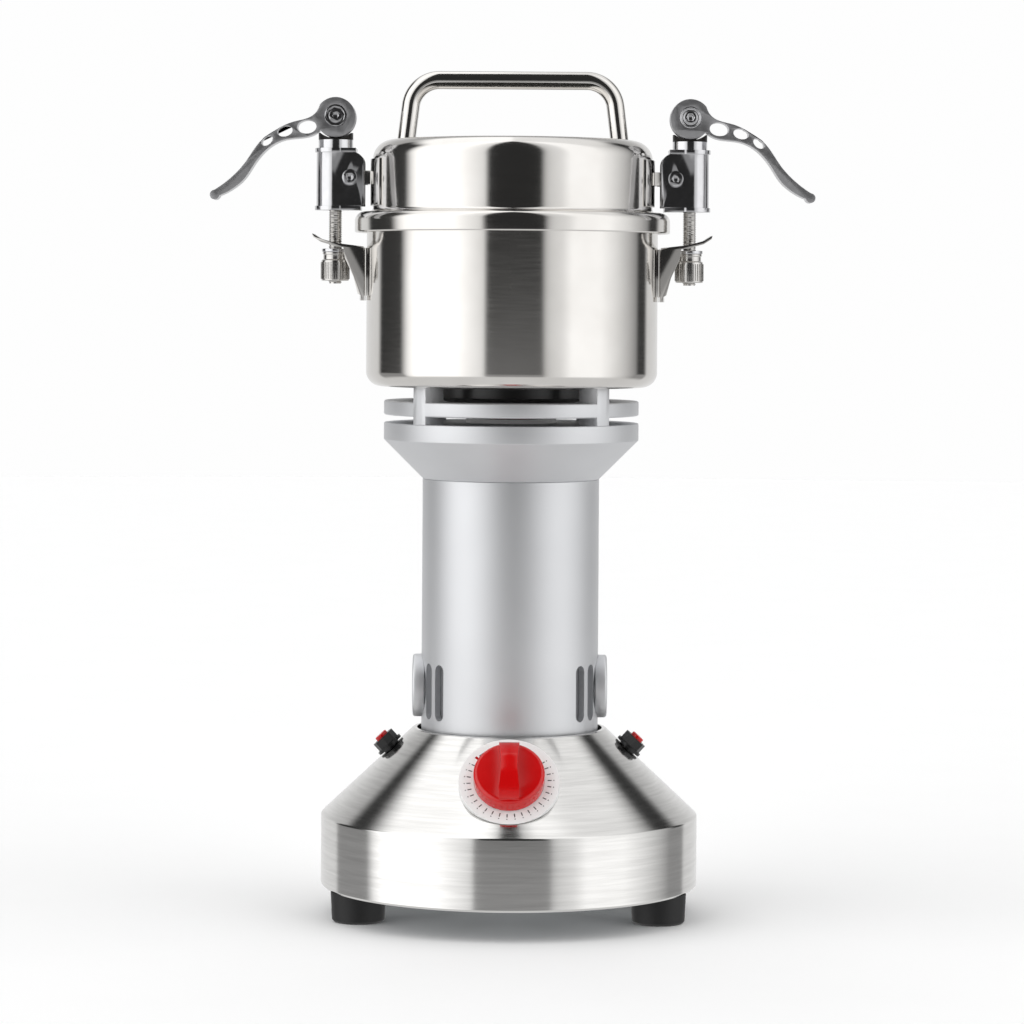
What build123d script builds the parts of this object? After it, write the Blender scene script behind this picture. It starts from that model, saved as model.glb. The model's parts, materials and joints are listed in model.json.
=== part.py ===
"""Stand-type grain mill: a lidded steel bowl on a vertical universal motor.

Frame: millimetres, +Z up, origin on the floor under the motor axis, the timer dial faces -Y.
Every piece is its own solid; each piece or set of identical pieces goes to parts/NODE.step.
"""
from build123d import *
import os
from math import acos, asin, atan2, cos, degrees, hypot, radians, sin, sqrt, tan

# ---------------------------------------------------------------- driving dimensions
# clearances
SEAT_GAP = 0.15            # curved seat of two pieces that don't move
RUN_GAP = 0.05             # radial running clearance of a shaft or pin
FREE_GAP = 0.3             # between pieces that move past each other
# base
BASE_R = 82.5              # outer radius of the spun base
BASE_WALL = 1.2
BAND_H = 30.7              # straight band, up to the shoulder
CONE_H = 37.7              # cone, from the shoulder up to its lip
LIP_GAP = 1.8              # dark gap between the tube and the base's lip
LIP_FLAT = 1.6             # flat part of that lip
FOOT_H = 12.8
FOOT_R = 12.0
FOOT_INSET = 17.6          # from the rim in to a foot's centre, measured across
FOOT_Y = 27.5
PLATE_T = 1.5              # bottom plate
# motor tube
TUBE_R = 38.8
TUBE_WALL = 3.0
TUBE_RISE = 109.3          # from the cone's top up to the tube's top
TUBE_SINK = 19.2           # how far the tube reaches down inside the base
BRUSH_RISE = 18.2          # from the cone's top up to the brushes and their round caps
BRUSH_CAP_R = 13.75
BRUSH_CAP_PROUD = 3.8      # how far a cap stands out of the tube
VENT_WIDTH = 6.0
VENT_HEIGHT = 24.4
VENT_RISE = 4.8            # from the cone's top up to the vents
VENT_ANGLES = (52.2, 65.4)  # degrees round from the dial
# neck and bowl support
BOWL_OVER = 8.0            # how far the bowl stands out over the flange and the ring under it
NECK_WALL = 1.1            # from the flare's upper edge up to the hollow's roof
FLANGE_T = 6.3
RING_GAP = 3.4             # between the flange and the ring
RING_T = 6.3
RING_WIDTH = 12.0
POST_RISE = 6.2            # posts above the ring
POST_WIDTH = 7.4
# bowl
BOWL_R = 64.0
BOWL_WALL = 1.5
BOWL_H = 73.6
BOWL_CORNER_R = 6.5
BOWL_LIP = 3.4             # how far the lip turns out
# lid
LID_STEP = 2.5             # the lid's drum is this much smaller than the bowl
LID_WALL = 1.2
LID_H = 31.6               # drum, from the skirt's top
LID_CORNER_R = 8.5
SKIRT_ROOM = 1.9           # from the bowl's lip out to the skirt's outside
SKIRT_H = 9.0
SKIRT_OVER = 2.8           # skirt's top above the bowl's lip
HANDLE_ROD_R = 4.0
HANDLE_INSET = 14.6        # from the drum's side in to a handle leg
HANDLE_H = 30.6
HANDLE_LEAN = 7.0          # degrees
HANDLE_BEND_R = 12.7
# side clamps
PIVOT_OUT = 9.9            # from the drum's side out to the pivot
PIVOT_RISE = 15.0          # from the skirt's top up to the pivot
PIVOT_R = 2.0
SCREW_OUT = 6.5            # from the pivot out to the screw
SCREW_R = 2.95
SCREW_LENGTH = 73.7        # from the cam's pin down to the screw's end
CAM_RISE = 27.1            # from the pivot up to the cam's pin
CAM_R = 8.85
CAM_THROW = 0.7            # how far the cam's round is off its pin
LEVER_WIDTH = 11.0
HOUSING_R = 8.4
HOUSING_BELOW = 12.5       # housing's walls below the pivot,
HOUSING_ABOVE = 11.0       # above it,
HOUSING_BACK = 6.3         # and from it in towards the drum
HOUSING_CORNER_R = 5.0     # its upper inner corner, rounded so that it swings past the lid bracket
SHEET_T = 1.2
NUT_R = 6.4
NUT_H = 9.0                # knurled grip
COLLAR_H = 3.7             # plain collar above the grip
WASHER_T = 1.4
FORK_DROP = 14.0           # from the bowl's top down to the fork's root
FORK_REACH = 9.4           # from the screw out to the fork's tips
FORK_T = 1.5
FORK_HALF = 10.5           # half of the fork's width
PAD_T = 1.4                # doubler between fork and bowl
# motor
SHAFT_R = 6.0
STATOR_RISE = 16.6         # from the brushes up to the stator
STATOR_H = 50.0
ROTOR_R = 19.0
AIR_GAP = 0.6
BLADE_ROOM = 8.5           # from the blades' tips to the bowl's wall
BLADE_LIFT = 8.0           # from the bowl's bottom up to the lowest blade
BLADE_PITCH = 9.5
# dial, buttons and gland
DIAL_R = 21.4
DIAL_CLEAR = 24.2          # from the tube out to the dial's centre
DIAL_PROUD = 3.56          # height of the dial's centre over the cone
DIAL_DROOP = 5.9           # degrees that the dial's face looks less steeply up than the cone
KNOB_R = 15.1
BREAKER_CLEAR = 13.0       # from the tube out to a breaker's axis
BREAKER_BUSH_R = 3.9       # threaded bush that the nut holds
BREAKER_NUT_R = 5.3        # across its corners
BUTTON_R = 2.95
GLAND_INSET = 12.5         # from the base's rim in to the gland's axis
GLAND_R = 6.0

# ---------------------------------------------------------------- places that follow from them
BASE_BOTTOM = FOOT_H
SHOULDER_Z = BASE_BOTTOM + BAND_H
CONE_TOP_Z = SHOULDER_Z + CONE_H
CONE_TOP_R = TUBE_R + LIP_GAP + LIP_FLAT
CONE_RISE = CONE_H / (BASE_R - CONE_TOP_R)
CONE_TILT = 90 - degrees(atan2(CONE_H, BASE_R - CONE_TOP_R))
FOOT_X = BASE_R - FOOT_INSET
TUBE_BOTTOM = CONE_TOP_Z - TUBE_SINK
TUBE_TOP = CONE_TOP_Z + TUBE_RISE
BRUSH_Z = CONE_TOP_Z + BRUSH_RISE
BRUSH_CAP_X = TUBE_R + BRUSH_CAP_PROUD
VENT_BOTTOM = CONE_TOP_Z + VENT_RISE
VENT_TOP = VENT_BOTTOM + VENT_HEIGHT
STATOR_BOTTOM = BRUSH_Z + STATOR_RISE
STATOR_TOP = STATOR_BOTTOM + STATOR_H
NECK_R = BOWL_R - BOWL_OVER
NECK_FLARE = NECK_R - TUBE_R
FLANGE_BOTTOM = TUBE_TOP + NECK_FLARE + NECK_WALL
FLANGE_TOP = FLANGE_BOTTOM + FLANGE_T
RING_BOTTOM = FLANGE_TOP + RING_GAP
RING_TOP = RING_BOTTOM + RING_T
RING_INNER_R = NECK_R - RING_WIDTH
BOWL_BOTTOM = RING_TOP + POST_RISE
BOWL_TOP = BOWL_BOTTOM + BOWL_H
BOWL_LIP_R = BOWL_R + BOWL_LIP
BLADE_R = BOWL_R - BOWL_WALL - BLADE_ROOM
BLADE_BOTTOM = BOWL_BOTTOM + BLADE_LIFT
LID_R = BOWL_R - LID_STEP
SKIRT_R = BOWL_LIP_R + SKIRT_ROOM
SKIRT_TOP = BOWL_TOP + SKIRT_OVER
SKIRT_BOTTOM = SKIRT_TOP - SKIRT_H
LID_TOP = SKIRT_TOP + LID_H
HANDLE_FOOT_X = LID_R - HANDLE_INSET
HANDLE_TOP_Z = LID_TOP + HANDLE_H
PIVOT_X = LID_R + PIVOT_OUT
PIVOT_Z = SKIRT_TOP + PIVOT_RISE
SCREW_X = PIVOT_X + SCREW_OUT
CAM_PIN_Z = PIVOT_Z + CAM_RISE
SCREW_BOTTOM = CAM_PIN_Z - SCREW_LENGTH
HOUSING_BOTTOM = PIVOT_Z - HOUSING_BELOW
HOUSING_TOP = PIVOT_Z + HOUSING_ABOVE
HOUSING_INNER_X = PIVOT_X - HOUSING_BACK
FORK_Z = BOWL_TOP - FORK_DROP
FORK_TIP_X = SCREW_X + FORK_REACH
WASHER_TOP = FORK_Z + 0.5
NUT_BOTTOM = WASHER_TOP - WASHER_T - COLLAR_H - NUT_H
DIAL_OUT = TUBE_R + DIAL_CLEAR
DIAL_TILT = CONE_TILT - DIAL_DROOP
BREAKER_OUT = TUBE_R + BREAKER_CLEAR
GLAND_OUT = BASE_R - GLAND_INSET
BIG = 500.0                # long enough to cut right through anything here
SIDES = (("left", -1), ("right", 1))


# ---------------------------------------------------------------- helpers
def cyl(radius, low, high, x=0.0, y=0.0):
    """Upright cylinder between two heights."""
    return Pos(x, y, low) * Cylinder(radius, high - low, align=(Align.CENTER, Align.CENTER, Align.MIN))


def tube(outer, inner, low, high, x=0.0, y=0.0):
    """Upright tube between two heights."""
    return cyl(outer, low, high, x, y) - cyl(inner, low - 1, high + 1, x, y)


def block(x0, x1, y0, y1, z0, z1):
    """Box from its corners."""
    return Pos((x0 + x1) / 2, (y0 + y1) / 2, (z0 + z1) / 2) * Box(x1 - x0, y1 - y0, z1 - z0)


def cyl_y(radius, x, z, y0, y1):
    """Cylinder along Y."""
    return Pos(x, y0, z) * Rot(-90, 0, 0) * Cylinder(
        radius, y1 - y0, align=(Align.CENTER, Align.CENTER, Align.MIN))


def cyl_x(radius, y, z, x0, x1):
    """Cylinder along X."""
    return Pos(x0, y, z) * Rot(0, 90, 0) * Cylinder(
        radius, x1 - x0, align=(Align.CENTER, Align.CENTER, Align.MIN))


def lathe(points):
    """Solid of revolution about Z from a closed outline of (radius, height)."""
    return revolve(Plane.XZ * make_face(Polyline(*points, close=True)), Axis.Z)


def slab(points, half_width):
    """Closed (x, z) outline pulled out to both sides of Y = 0."""
    return extrude(Plane.XZ * make_face(Polyline(*points, close=True)), half_width, both=True)


def offset_points(points, distance):
    """The open line moved sideways to its right by a distance, with mitred corners."""
    moved = []
    for i, (x, z) in enumerate(points):
        normals = []
        for j in (i - 1, i):
            if 0 <= j < len(points) - 1:
                dx = points[j + 1][0] - points[j][0]
                dz = points[j + 1][1] - points[j][1]
                normals.append((dz / hypot(dx, dz), -dx / hypot(dx, dz)))
        nx = sum(n[0] for n in normals)
        nz = sum(n[1] for n in normals)
        scale = distance * len(normals) / (nx * nx + nz * nz)
        moved.append((x + nx * scale, z + nz * scale))
    return moved


def turns_left(a, b, c):
    """Whether the line a, b, c turns to its left at b."""
    return (b[0] - a[0]) * (c[1] - b[1]) - (b[1] - a[1]) * (c[0] - b[0]) > 0


def sheet_face(points, thickness, radii):
    """Outline of a bent sheet: its given line, and the same line moved left by the thickness."""
    inner = offset_points(points, -thickness)
    inner_radii = []
    for i, radius in enumerate(radii):
        towards = turns_left(points[i], points[i + 1], points[i + 2])
        inner_radii.append(max(radius - thickness, 0.2) if towards else radius + thickness)
    face_line = FilletPolyline(*points, radius=list(radii))
    back_line = FilletPolyline(*inner, radius=inner_radii)
    ends = [Line(points[0], inner[0]), Line(points[-1], inner[-1])]
    return Plane.XZ * make_face([face_line, back_line] + ends)


def spun(points, thickness, radii):
    """Spun or drawn round sheet."""
    return revolve(sheet_face(points, thickness, radii), Axis.Z)


def other_side(piece):
    """The mirror image across the plane between the two clamps."""
    return mirror(piece, about=Plane.YZ)


def cone_z(radius):
    """Height of the base cone's outside at a radius."""
    return SHOULDER_Z + (BASE_R - radius) * CONE_RISE


def on_cone(azimuth, radius, tilt, proud=0.0):
    """Location over the cone: local Z points out along the tilt, local Y points up the slope."""
    out = Vector(cos(radians(azimuth)), sin(radians(azimuth)), 0)
    normal = out * cos(radians(tilt)) + Vector(0, 0, sin(radians(tilt)))
    up = Vector(0, 0, cos(radians(tilt))) - out * sin(radians(tilt))
    origin = out * radius + Vector(0, 0, cone_z(radius) + proud)
    return Plane(origin=origin, x_dir=up.cross(normal), z_dir=normal).location


DIAL_AT = on_cone(-90, DIAL_OUT, DIAL_TILT, DIAL_PROUD)


# ---------------------------------------------------------------- base
def base_solid(grow=0.0):
    """Everything inside the base's outer skin, grown outwards by a clearance."""
    return lathe([(0, BASE_BOTTOM), (BASE_R + grow, BASE_BOTTOM), (BASE_R + grow, SHOULDER_Z + grow),
                  (CONE_TOP_R, CONE_TOP_Z + 1.4 * grow), (0, CONE_TOP_Z + 1.4 * grow)])


def base_shell():
    """Spun stainless skin: straight band, rounded shoulder, cone and a short flat lip round the tube."""
    outline = [(BASE_R, BASE_BOTTOM), (BASE_R, SHOULDER_Z), (CONE_TOP_R, CONE_TOP_Z),
               (CONE_TOP_R - LIP_FLAT, CONE_TOP_Z)]
    shell = spun(outline, BASE_WALL, [5.0, 2.6])
    shell -= DIAL_AT * Cylinder(4.8, 40)
    for azimuth in (0, 180):
        shell -= on_cone(azimuth, BREAKER_OUT, CONE_TILT) * Cylinder(BREAKER_BUSH_R + 0.2, 30)
    shell -= on_cone(90, GLAND_OUT, CONE_TILT) * Cylinder(GLAND_R + SEAT_GAP, 30)
    return shell


def bottom_plate():
    """Flat steel plate that closes the base from below, with cooling slots."""
    plate = cyl(BASE_R - BASE_WALL - FREE_GAP, BASE_BOTTOM, BASE_BOTTOM + PLATE_T)
    slot = Pos(38, 0, BASE_BOTTOM + PLATE_T / 2) * extrude(SlotOverall(26, 5), PLATE_T, both=True)
    for i in range(8):
        plate -= Rot(0, 0, 22.5 + 45 * i) * slot
    for x, y in foot_centres():
        plate -= cyl(FOOT_SCREW_R + 0.2, BASE_BOTTOM - 1, BASE_BOTTOM + PLATE_T + 1, x, y)
    return plate


FOOT_SCREW_R = 2.0


def foot_centres():
    """The four feet in plan."""
    return [(sx * FOOT_X, sy * FOOT_Y) for sx in (-1, 1) for sy in (-1, 1)]


def rubber_foot(x, y):
    """Moulded black rubber foot, tapered a little, with a sunk screw hole."""
    foot = Pos(x, y, 0) * lathe([(0, 0), (FOOT_R - 1.6, 0), (FOOT_R - 0.6, 1), (FOOT_R, BASE_BOTTOM),
                                 (0, BASE_BOTTOM)])
    foot -= cyl(5.0, -1, 6, x, y)
    return foot - cyl(FOOT_SCREW_R + 0.2, 0, BASE_BOTTOM + 1, x, y)


def foot_screw(x, y):
    """Pan-head screw up through the foot, with its weld nut on top of the plate."""
    plate_top = BASE_BOTTOM + PLATE_T
    screw = cyl(4.0, 3.4, 6, x, y) + cyl(FOOT_SCREW_R, 6, plate_top + 4, x, y)
    return screw + Pos(x, y, plate_top + 1.5) * extrude(RegularPolygon(3.6, 6), 1.5, both=True)


def lower_end_bracket():
    """Cast end bracket: ring under the tube, four arms out to the cone, hub for the lower bearing."""
    inner_drop = BASE_WALL / sin(radians(CONE_TILT))
    low, high = TUBE_BOTTOM - 4.5, TUBE_BOTTOM

    def cone_inside(z):
        return BASE_R - (z + inner_drop - SHOULDER_Z) / CONE_RISE - SEAT_GAP

    rim = lathe([(TUBE_R - 9, low), (cone_inside(low), low), (cone_inside(high), high), (TUBE_R - 9, high)])
    arms = Part()
    for angle in (45, 135):
        arms += Rot(0, 0, angle) * block(-BASE_R, BASE_R, -6, 6, low, high)
    bracket = (rim & arms) + tube(TUBE_R, TUBE_R - 9, low, high)
    spigot_r = TUBE_R - TUBE_WALL - SEAT_GAP
    bracket += tube(spigot_r, spigot_r - 3, low, high + 5)
    spokes = Part()
    for angle in (0, 90):
        spokes += Rot(0, 0, angle) * block(-spigot_r + 1, spigot_r - 1, -4.5, 4.5, high, high + 5)
    bracket += spokes
    bracket += cyl(LOWER_BEARING_R + 4, low, LOWER_BEARING_Z + LOWER_BEARING_T)
    bracket -= cyl(LOWER_BEARING_R, LOWER_BEARING_Z, LOWER_BEARING_Z + LOWER_BEARING_T + 1)
    return bracket - cyl(LOWER_SHAFT_R + 1.5, low - 1, LOWER_BEARING_Z + 1)


LOWER_BEARING_R = 11.0
LOWER_BEARING_T = 7.0
LOWER_BEARING_Z = TUBE_BOTTOM + 6
LOWER_SHAFT_R = 4.0
UPPER_BEARING_R = 14.0
UPPER_BEARING_T = 8.0
UPPER_BEARING_Z = TUBE_TOP + 5.5


def bearing(outer, bore, low, thickness):
    """Sealed ball bearing as one ring, with its shields sunk a little."""
    ring = tube(outer, bore + RUN_GAP, low, low + thickness)
    for z in (low - 1, low + thickness - 0.4):
        ring -= tube(outer - 1.8, bore + 2.2, z, z + 1.4)
    return ring


# ---------------------------------------------------------------- motor housing
def vent_cut(azimuth):
    """Tall slot with round ends, cut through the tube at an angle round from the dial."""
    profile = SlotOverall(VENT_TOP - VENT_BOTTOM, VENT_WIDTH)
    mid = (VENT_TOP + VENT_BOTTOM) / 2
    cutter = extrude(Plane.YZ * Rot(0, 0, 90) * profile, TUBE_R + 4)
    return Rot(0, 0, azimuth) * Pos(0, 0, mid) * cutter


def motor_tube():
    """Sand-blasted aluminium tube round the motor, with vents and two round holes for the brush caps."""
    housing = tube(TUBE_R, TUBE_R - TUBE_WALL, TUBE_BOTTOM, TUBE_TOP)
    for angle in VENT_ANGLES:
        for azimuth in (-90 - angle, -90 + angle, 90 - angle, 90 + angle):
            housing -= vent_cut(azimuth)
    housing -= cyl_x(BRUSH_CAP_R - 2, 0, BRUSH_Z, -TUBE_R - 5, TUBE_R + 5)
    for sign in (-1, 1):
        x0, x1 = sorted((sign * (TUBE_R - 1.4), sign * (TUBE_R + 5)))
        housing -= cyl_x(BRUSH_CAP_R + SEAT_GAP, 0, BRUSH_Z, x0, x1)
    return housing


def brush_cap():
    """Round aluminium cap over the right-hand brush, seated in the tube's side hole."""
    cap = cyl_x(BRUSH_CAP_R, 0, BRUSH_Z, TUBE_R - 1.4, BRUSH_CAP_X)
    cap = chamfer(cap.edges().filter_by(GeomType.CIRCLE).sort_by(Axis.X)[-1:], 0.7)
    cap += cyl_x(BRUSH_CAP_R - 2 - SEAT_GAP, 0, BRUSH_Z, TUBE_R - TUBE_WALL + 0.4, TUBE_R - 1.4)
    return cap - cyl_x(6.2, 0, BRUSH_Z, TUBE_R - TUBE_WALL, BRUSH_CAP_X - 2)


CARRIER_R = TUBE_R - TUBE_WALL - SEAT_GAP
HOLDER_HALF = 4.6
BRUSH_HALF = 3.4
COMMUTATOR_R = 12.0


def brush_carrier():
    """Grey moulded ring inside the tube that carries the two brush holders."""
    ring = tube(CARRIER_R, CARRIER_R - 1.6, BRUSH_Z - 17.4, BRUSH_Z + 14.6)
    return ring - block(-BIG, BIG, -HOLDER_HALF - SEAT_GAP, HOLDER_HALF + SEAT_GAP,
                        BRUSH_Z - HOLDER_HALF - SEAT_GAP, BRUSH_Z + HOLDER_HALF + SEAT_GAP)


def brush_holder():
    """Square brass sleeve of the right-hand brush."""
    sleeve = block(COMMUTATOR_R + 3, CARRIER_R, -HOLDER_HALF, HOLDER_HALF,
                   BRUSH_Z - HOLDER_HALF, BRUSH_Z + HOLDER_HALF)
    return sleeve - block(0, BIG, -BRUSH_HALF - 0.1, BRUSH_HALF + 0.1,
                          BRUSH_Z - BRUSH_HALF - 0.1, BRUSH_Z + BRUSH_HALF + 0.1)


def carbon_brush():
    """Right-hand brush, its end hollowed to the commutator."""
    brush = block(COMMUTATOR_R - 4, CARRIER_R - 8, -BRUSH_HALF, BRUSH_HALF,
                  BRUSH_Z - BRUSH_HALF, BRUSH_Z + BRUSH_HALF)
    return brush - cyl(COMMUTATOR_R + FREE_GAP, BRUSH_Z - 10, BRUSH_Z + 10)


COIL_IN = 13.0             # where the coils' windows start, out from the axis
COIL_HALF = 13.5


def stator_core():
    """Two-pole lamination stack pressed into the tube."""
    core = cyl(CARRIER_R, STATOR_BOTTOM, STATOR_TOP)
    core -= cyl(ROTOR_R + AIR_GAP, STATOR_BOTTOM - 1, STATOR_TOP + 1)
    window = cyl(CARRIER_R - 6, STATOR_BOTTOM - 1, STATOR_TOP + 1)
    sides = Part()
    for sign in (-1, 1):
        x0, x1 = sorted((sign * COIL_IN, sign * BIG))
        sides += block(x0, x1, -COIL_HALF, COIL_HALF, STATOR_BOTTOM - 2, STATOR_TOP + 2)
    return core - (window & sides)


def field_coil():
    """Copper coil side and end turns in the stator's right-hand window."""
    gap = 0.4
    coil = block(COIL_IN + gap, CARRIER_R - 9, -COIL_HALF + gap, COIL_HALF - gap,
                 STATOR_BOTTOM - 9, STATOR_TOP + 9)
    coil &= cyl(CARRIER_R - 6 - gap, STATOR_BOTTOM - 9, STATOR_TOP + 9)
    return coil - cyl(ROTOR_R + AIR_GAP + gap + 1.0, STATOR_BOTTOM - 10, STATOR_TOP + 10)


def neck_casting():
    """Cast aluminium neck: spigot in the tube, flared cone, flange and the upper bearing's hub."""
    flare_r = NECK_R
    outer = [(TUBE_R - TUBE_WALL - SEAT_GAP, TUBE_TOP - 6), (TUBE_R - TUBE_WALL - SEAT_GAP, TUBE_TOP),
             (TUBE_R, TUBE_TOP), (flare_r, TUBE_TOP + NECK_FLARE),
             (flare_r, FLANGE_TOP - 0.5), (flare_r - 0.5, FLANGE_TOP), (SHAFT_R + 3, FLANGE_TOP),
             (SHAFT_R + 3, UPPER_BEARING_Z + UPPER_BEARING_T), (UPPER_BEARING_R, UPPER_BEARING_Z + UPPER_BEARING_T),
             (UPPER_BEARING_R, UPPER_BEARING_Z - 1), (UPPER_BEARING_R + 4, UPPER_BEARING_Z - 1),
             (UPPER_BEARING_R + 4, FLANGE_BOTTOM), (flare_r - 10, FLANGE_BOTTOM),
             (TUBE_R - TUBE_WALL - 4, TUBE_TOP), (TUBE_R - TUBE_WALL - 4, TUBE_TOP - 6)]
    return lathe(outer)


def support_ring():
    """Cast ring held off the flange by four posts, which also carry the bowl."""
    ring = tube(NECK_R, RING_INNER_R, RING_BOTTOM, RING_TOP)
    rims = ring.edges().filter_by(GeomType.CIRCLE).sort_by(SortBy.RADIUS)[-2:]
    ring = chamfer(rims, 0.5)
    cover = cyl(NECK_R, FLANGE_TOP, BOWL_BOTTOM)
    for angle in (45, 135, 225, 315):
        post = Rot(0, 0, angle) * block(RING_INNER_R + 1, NECK_R + 1, -POST_WIDTH / 2, POST_WIDTH / 2,
                                        FLANGE_TOP, BOWL_BOTTOM)
        ring += post & cover
    for angle in (45, 135, 225, 315):
        ring -= Rot(0, 0, angle) * cyl(BOWL_SCREW_R + RUN_GAP, BOWL_BOTTOM - 12, BOWL_BOTTOM + 1, POST_CENTRE)
    return ring


POST_CENTRE = (RING_INNER_R + 1 + NECK_R) / 2
BOWL_SCREW_R = 2.0


def insulating_ring():
    """White heat-resistant disc on the flange, round the shaft seal."""
    return tube(19.8, 11.4, FLANGE_TOP, FLANGE_TOP + 1.8)


def shaft_seal():
    """Red silicone lip seal round the shaft, above the bearing hub."""
    return lathe([(SHAFT_R + 0.08, FLANGE_TOP), (11.2, FLANGE_TOP), (11.0, FLANGE_TOP + 1.6),
                  (SHAFT_R + 2.2, FLANGE_TOP + 3.2), (SHAFT_R + 0.08, FLANGE_TOP + 3.2)])


# ---------------------------------------------------------------- bowl
def bowl():
    """Deep-drawn stainless bowl with a rounded bottom corner and a turned-out lip."""
    outline = [(SHAFT_R + 1.2, BOWL_BOTTOM), (BOWL_R, BOWL_BOTTOM), (BOWL_R, BOWL_TOP - BOWL_WALL),
               (BOWL_LIP_R, BOWL_TOP - BOWL_WALL)]
    body = spun(outline, BOWL_WALL, [BOWL_CORNER_R, 0.8])
    for angle in (45, 135, 225, 315):
        body -= Rot(0, 0, angle) * cyl(BOWL_SCREW_R + RUN_GAP, BOWL_BOTTOM - 1, BOWL_BOTTOM + 5, POST_CENTRE)
    return body


def bowl_screw(angle):
    """Low-head screw from inside the bowl down into a post."""
    screw = cyl(BOWL_SCREW_R, BOWL_BOTTOM - 11, BOWL_BOTTOM + BOWL_WALL, POST_CENTRE)
    screw += cyl(3.6, BOWL_BOTTOM + BOWL_WALL, BOWL_BOTTOM + BOWL_WALL + 2, POST_CENTRE)
    screw -= Pos(POST_CENTRE, 0, BOWL_BOTTOM + BOWL_WALL + 1.4) * extrude(RegularPolygon(1.6, 6), 1.5)
    return Rot(0, 0, angle) * screw


def bowl_hub_cover():
    """Black moulded cover under the bowl's centre, with two bright studs standing each side."""
    rim = RING_INNER_R - 10
    return lathe([(SHAFT_R + 3.5, RING_TOP - 3), (rim - 12, RING_TOP - 3), (rim, RING_TOP + 1.5),
                  (rim, BOWL_BOTTOM), (SHAFT_R + 3.5, BOWL_BOTTOM)])


def fork_bracket():
    """Right-hand hook on the bowl: hugging plate, open fork that rises outwards, two side gussets."""
    back_r = BOWL_R + PAD_T + 2 * RUN_GAP
    back = tube(back_r + FORK_T, back_r, FORK_Z - 22.2, FORK_Z + 0.8)
    back &= block(0, BIG, -FORK_HALF, FORK_HALF, 0, BIG)
    root_x = back_r - 0.6
    under = [(root_x, FORK_Z), (SCREW_X - 1, FORK_Z + 1.4), (FORK_TIP_X - 3.6, FORK_Z + 3.3),
             (FORK_TIP_X, FORK_Z + 5.6)]
    over = [(x + 0.15 * FORK_T, z + FORK_T) for x, z in reversed(under)]
    plate = slab(under + over, FORK_HALF)
    plate = plate - cyl(back_r, 0, BIG)
    slot_half = SCREW_R + 0.7
    plate -= cyl(slot_half, 0, BIG, SCREW_X) + block(SCREW_X, BIG, -slot_half, slot_half, 0, BIG)
    gusset = [(root_x, FORK_Z - 20.6), (root_x + 2.6, FORK_Z - 19.2), (root_x + 4.6, FORK_Z - 11.6),
              (root_x + 8.3, FORK_Z - 3.6), (root_x + 9.1, FORK_Z + 1.4), (root_x, FORK_Z + 0.4)]
    wall = slab(gusset, FORK_HALF) - slab(gusset, FORK_HALF - FORK_T)
    wall -= cyl(back_r, 0, BIG)
    return back + plate + wall


def bracket_pad():
    """Curved doubler spot-welded between the right-hand fork bracket and the bowl."""
    half = FORK_HALF + 2.5
    pad = tube(BOWL_R + RUN_GAP + PAD_T, BOWL_R + RUN_GAP, FORK_Z - 20.1, FORK_Z + 0.8)
    return pad & block(0, BIG, -half, half, 0, BIG)


# ---------------------------------------------------------------- controls on the base
def dial_plate():
    """White moulded dial: flat face, its skirt cut to sit on the cone."""
    plate = DIAL_AT * (Pos(0, 0, -12) * Cylinder(DIAL_R, 12, align=(Align.CENTER, Align.CENTER, Align.MIN)))
    plate -= base_solid(SEAT_GAP)
    return plate - DIAL_AT * Cylinder(5.4, 60)


TIMER_FRONT = 6.6          # depth of the timer's front below the dial's face
TIMER_DEPTH = 12.5
TIMER_STEM_R = 3.0


def timer_body():
    """Clockwork timer behind the cone, its bush coming out through the skin."""
    case = Pos(0, 0, -TIMER_FRONT - TIMER_DEPTH) * Box(
        26, 24, TIMER_DEPTH, align=(Align.CENTER, Align.CENTER, Align.MIN))
    bush = Pos(0, 0, -TIMER_FRONT) * Cylinder(4.5, TIMER_FRONT - 0.8, align=(Align.CENTER, Align.CENTER, Align.MIN))
    bore = Pos(0, 0, -TIMER_FRONT - 8) * Cylinder(
        TIMER_STEM_R + RUN_GAP, 40, align=(Align.CENTER, Align.CENTER, Align.MIN))
    return DIAL_AT * (case + bush - bore)


def timer_knob():
    """Red knob: round skirt, waisted grip bar across it, and the timer's stem."""
    skirt = Pos(0, 0, 0.6) * Cylinder(KNOB_R, 6.6, align=(Align.CENTER, Align.CENTER, Align.MIN))
    skirt = fillet(skirt.edges().filter_by(GeomType.CIRCLE).sort_by(Axis.Z)[-1:], 1.6)
    grip = Pos(0, 0, 6.5) * Box(8.6, 28.0, 8.2, align=(Align.CENTER, Align.CENTER, Align.MIN))
    for sign in (-1, 1):
        grip -= Pos(sign * 63.4, 0, 0) * Cylinder(60, 60)
    grip &= Pos(0, 0, -3.2) * Rot(0, 90, 0) * Cylinder(18.4, 30)
    stem = Pos(0, 0, -TIMER_FRONT - 7) * Cylinder(
        TIMER_STEM_R, TIMER_FRONT + 8, align=(Align.CENTER, Align.CENTER, Align.MIN))
    return DIAL_AT * (skirt + grip + stem)


def breaker_body(azimuth):
    """Push-to-reset breaker behind the cone, with its threaded bush."""
    case = Pos(0, 0, -12.4) * Cylinder(
        BREAKER_BUSH_R + 0.7, 9.0, align=(Align.CENTER, Align.CENTER, Align.MIN))
    bush = Pos(0, 0, -4) * Cylinder(BREAKER_BUSH_R, 8.2, align=(Align.CENTER, Align.CENTER, Align.MIN))
    bore = Pos(0, 0, -7) * Cylinder(BUTTON_R + 0.1, 30, align=(Align.CENTER, Align.CENTER, Align.MIN))
    return on_cone(azimuth, BREAKER_OUT, CONE_TILT) * (case + bush - bore)


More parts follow.
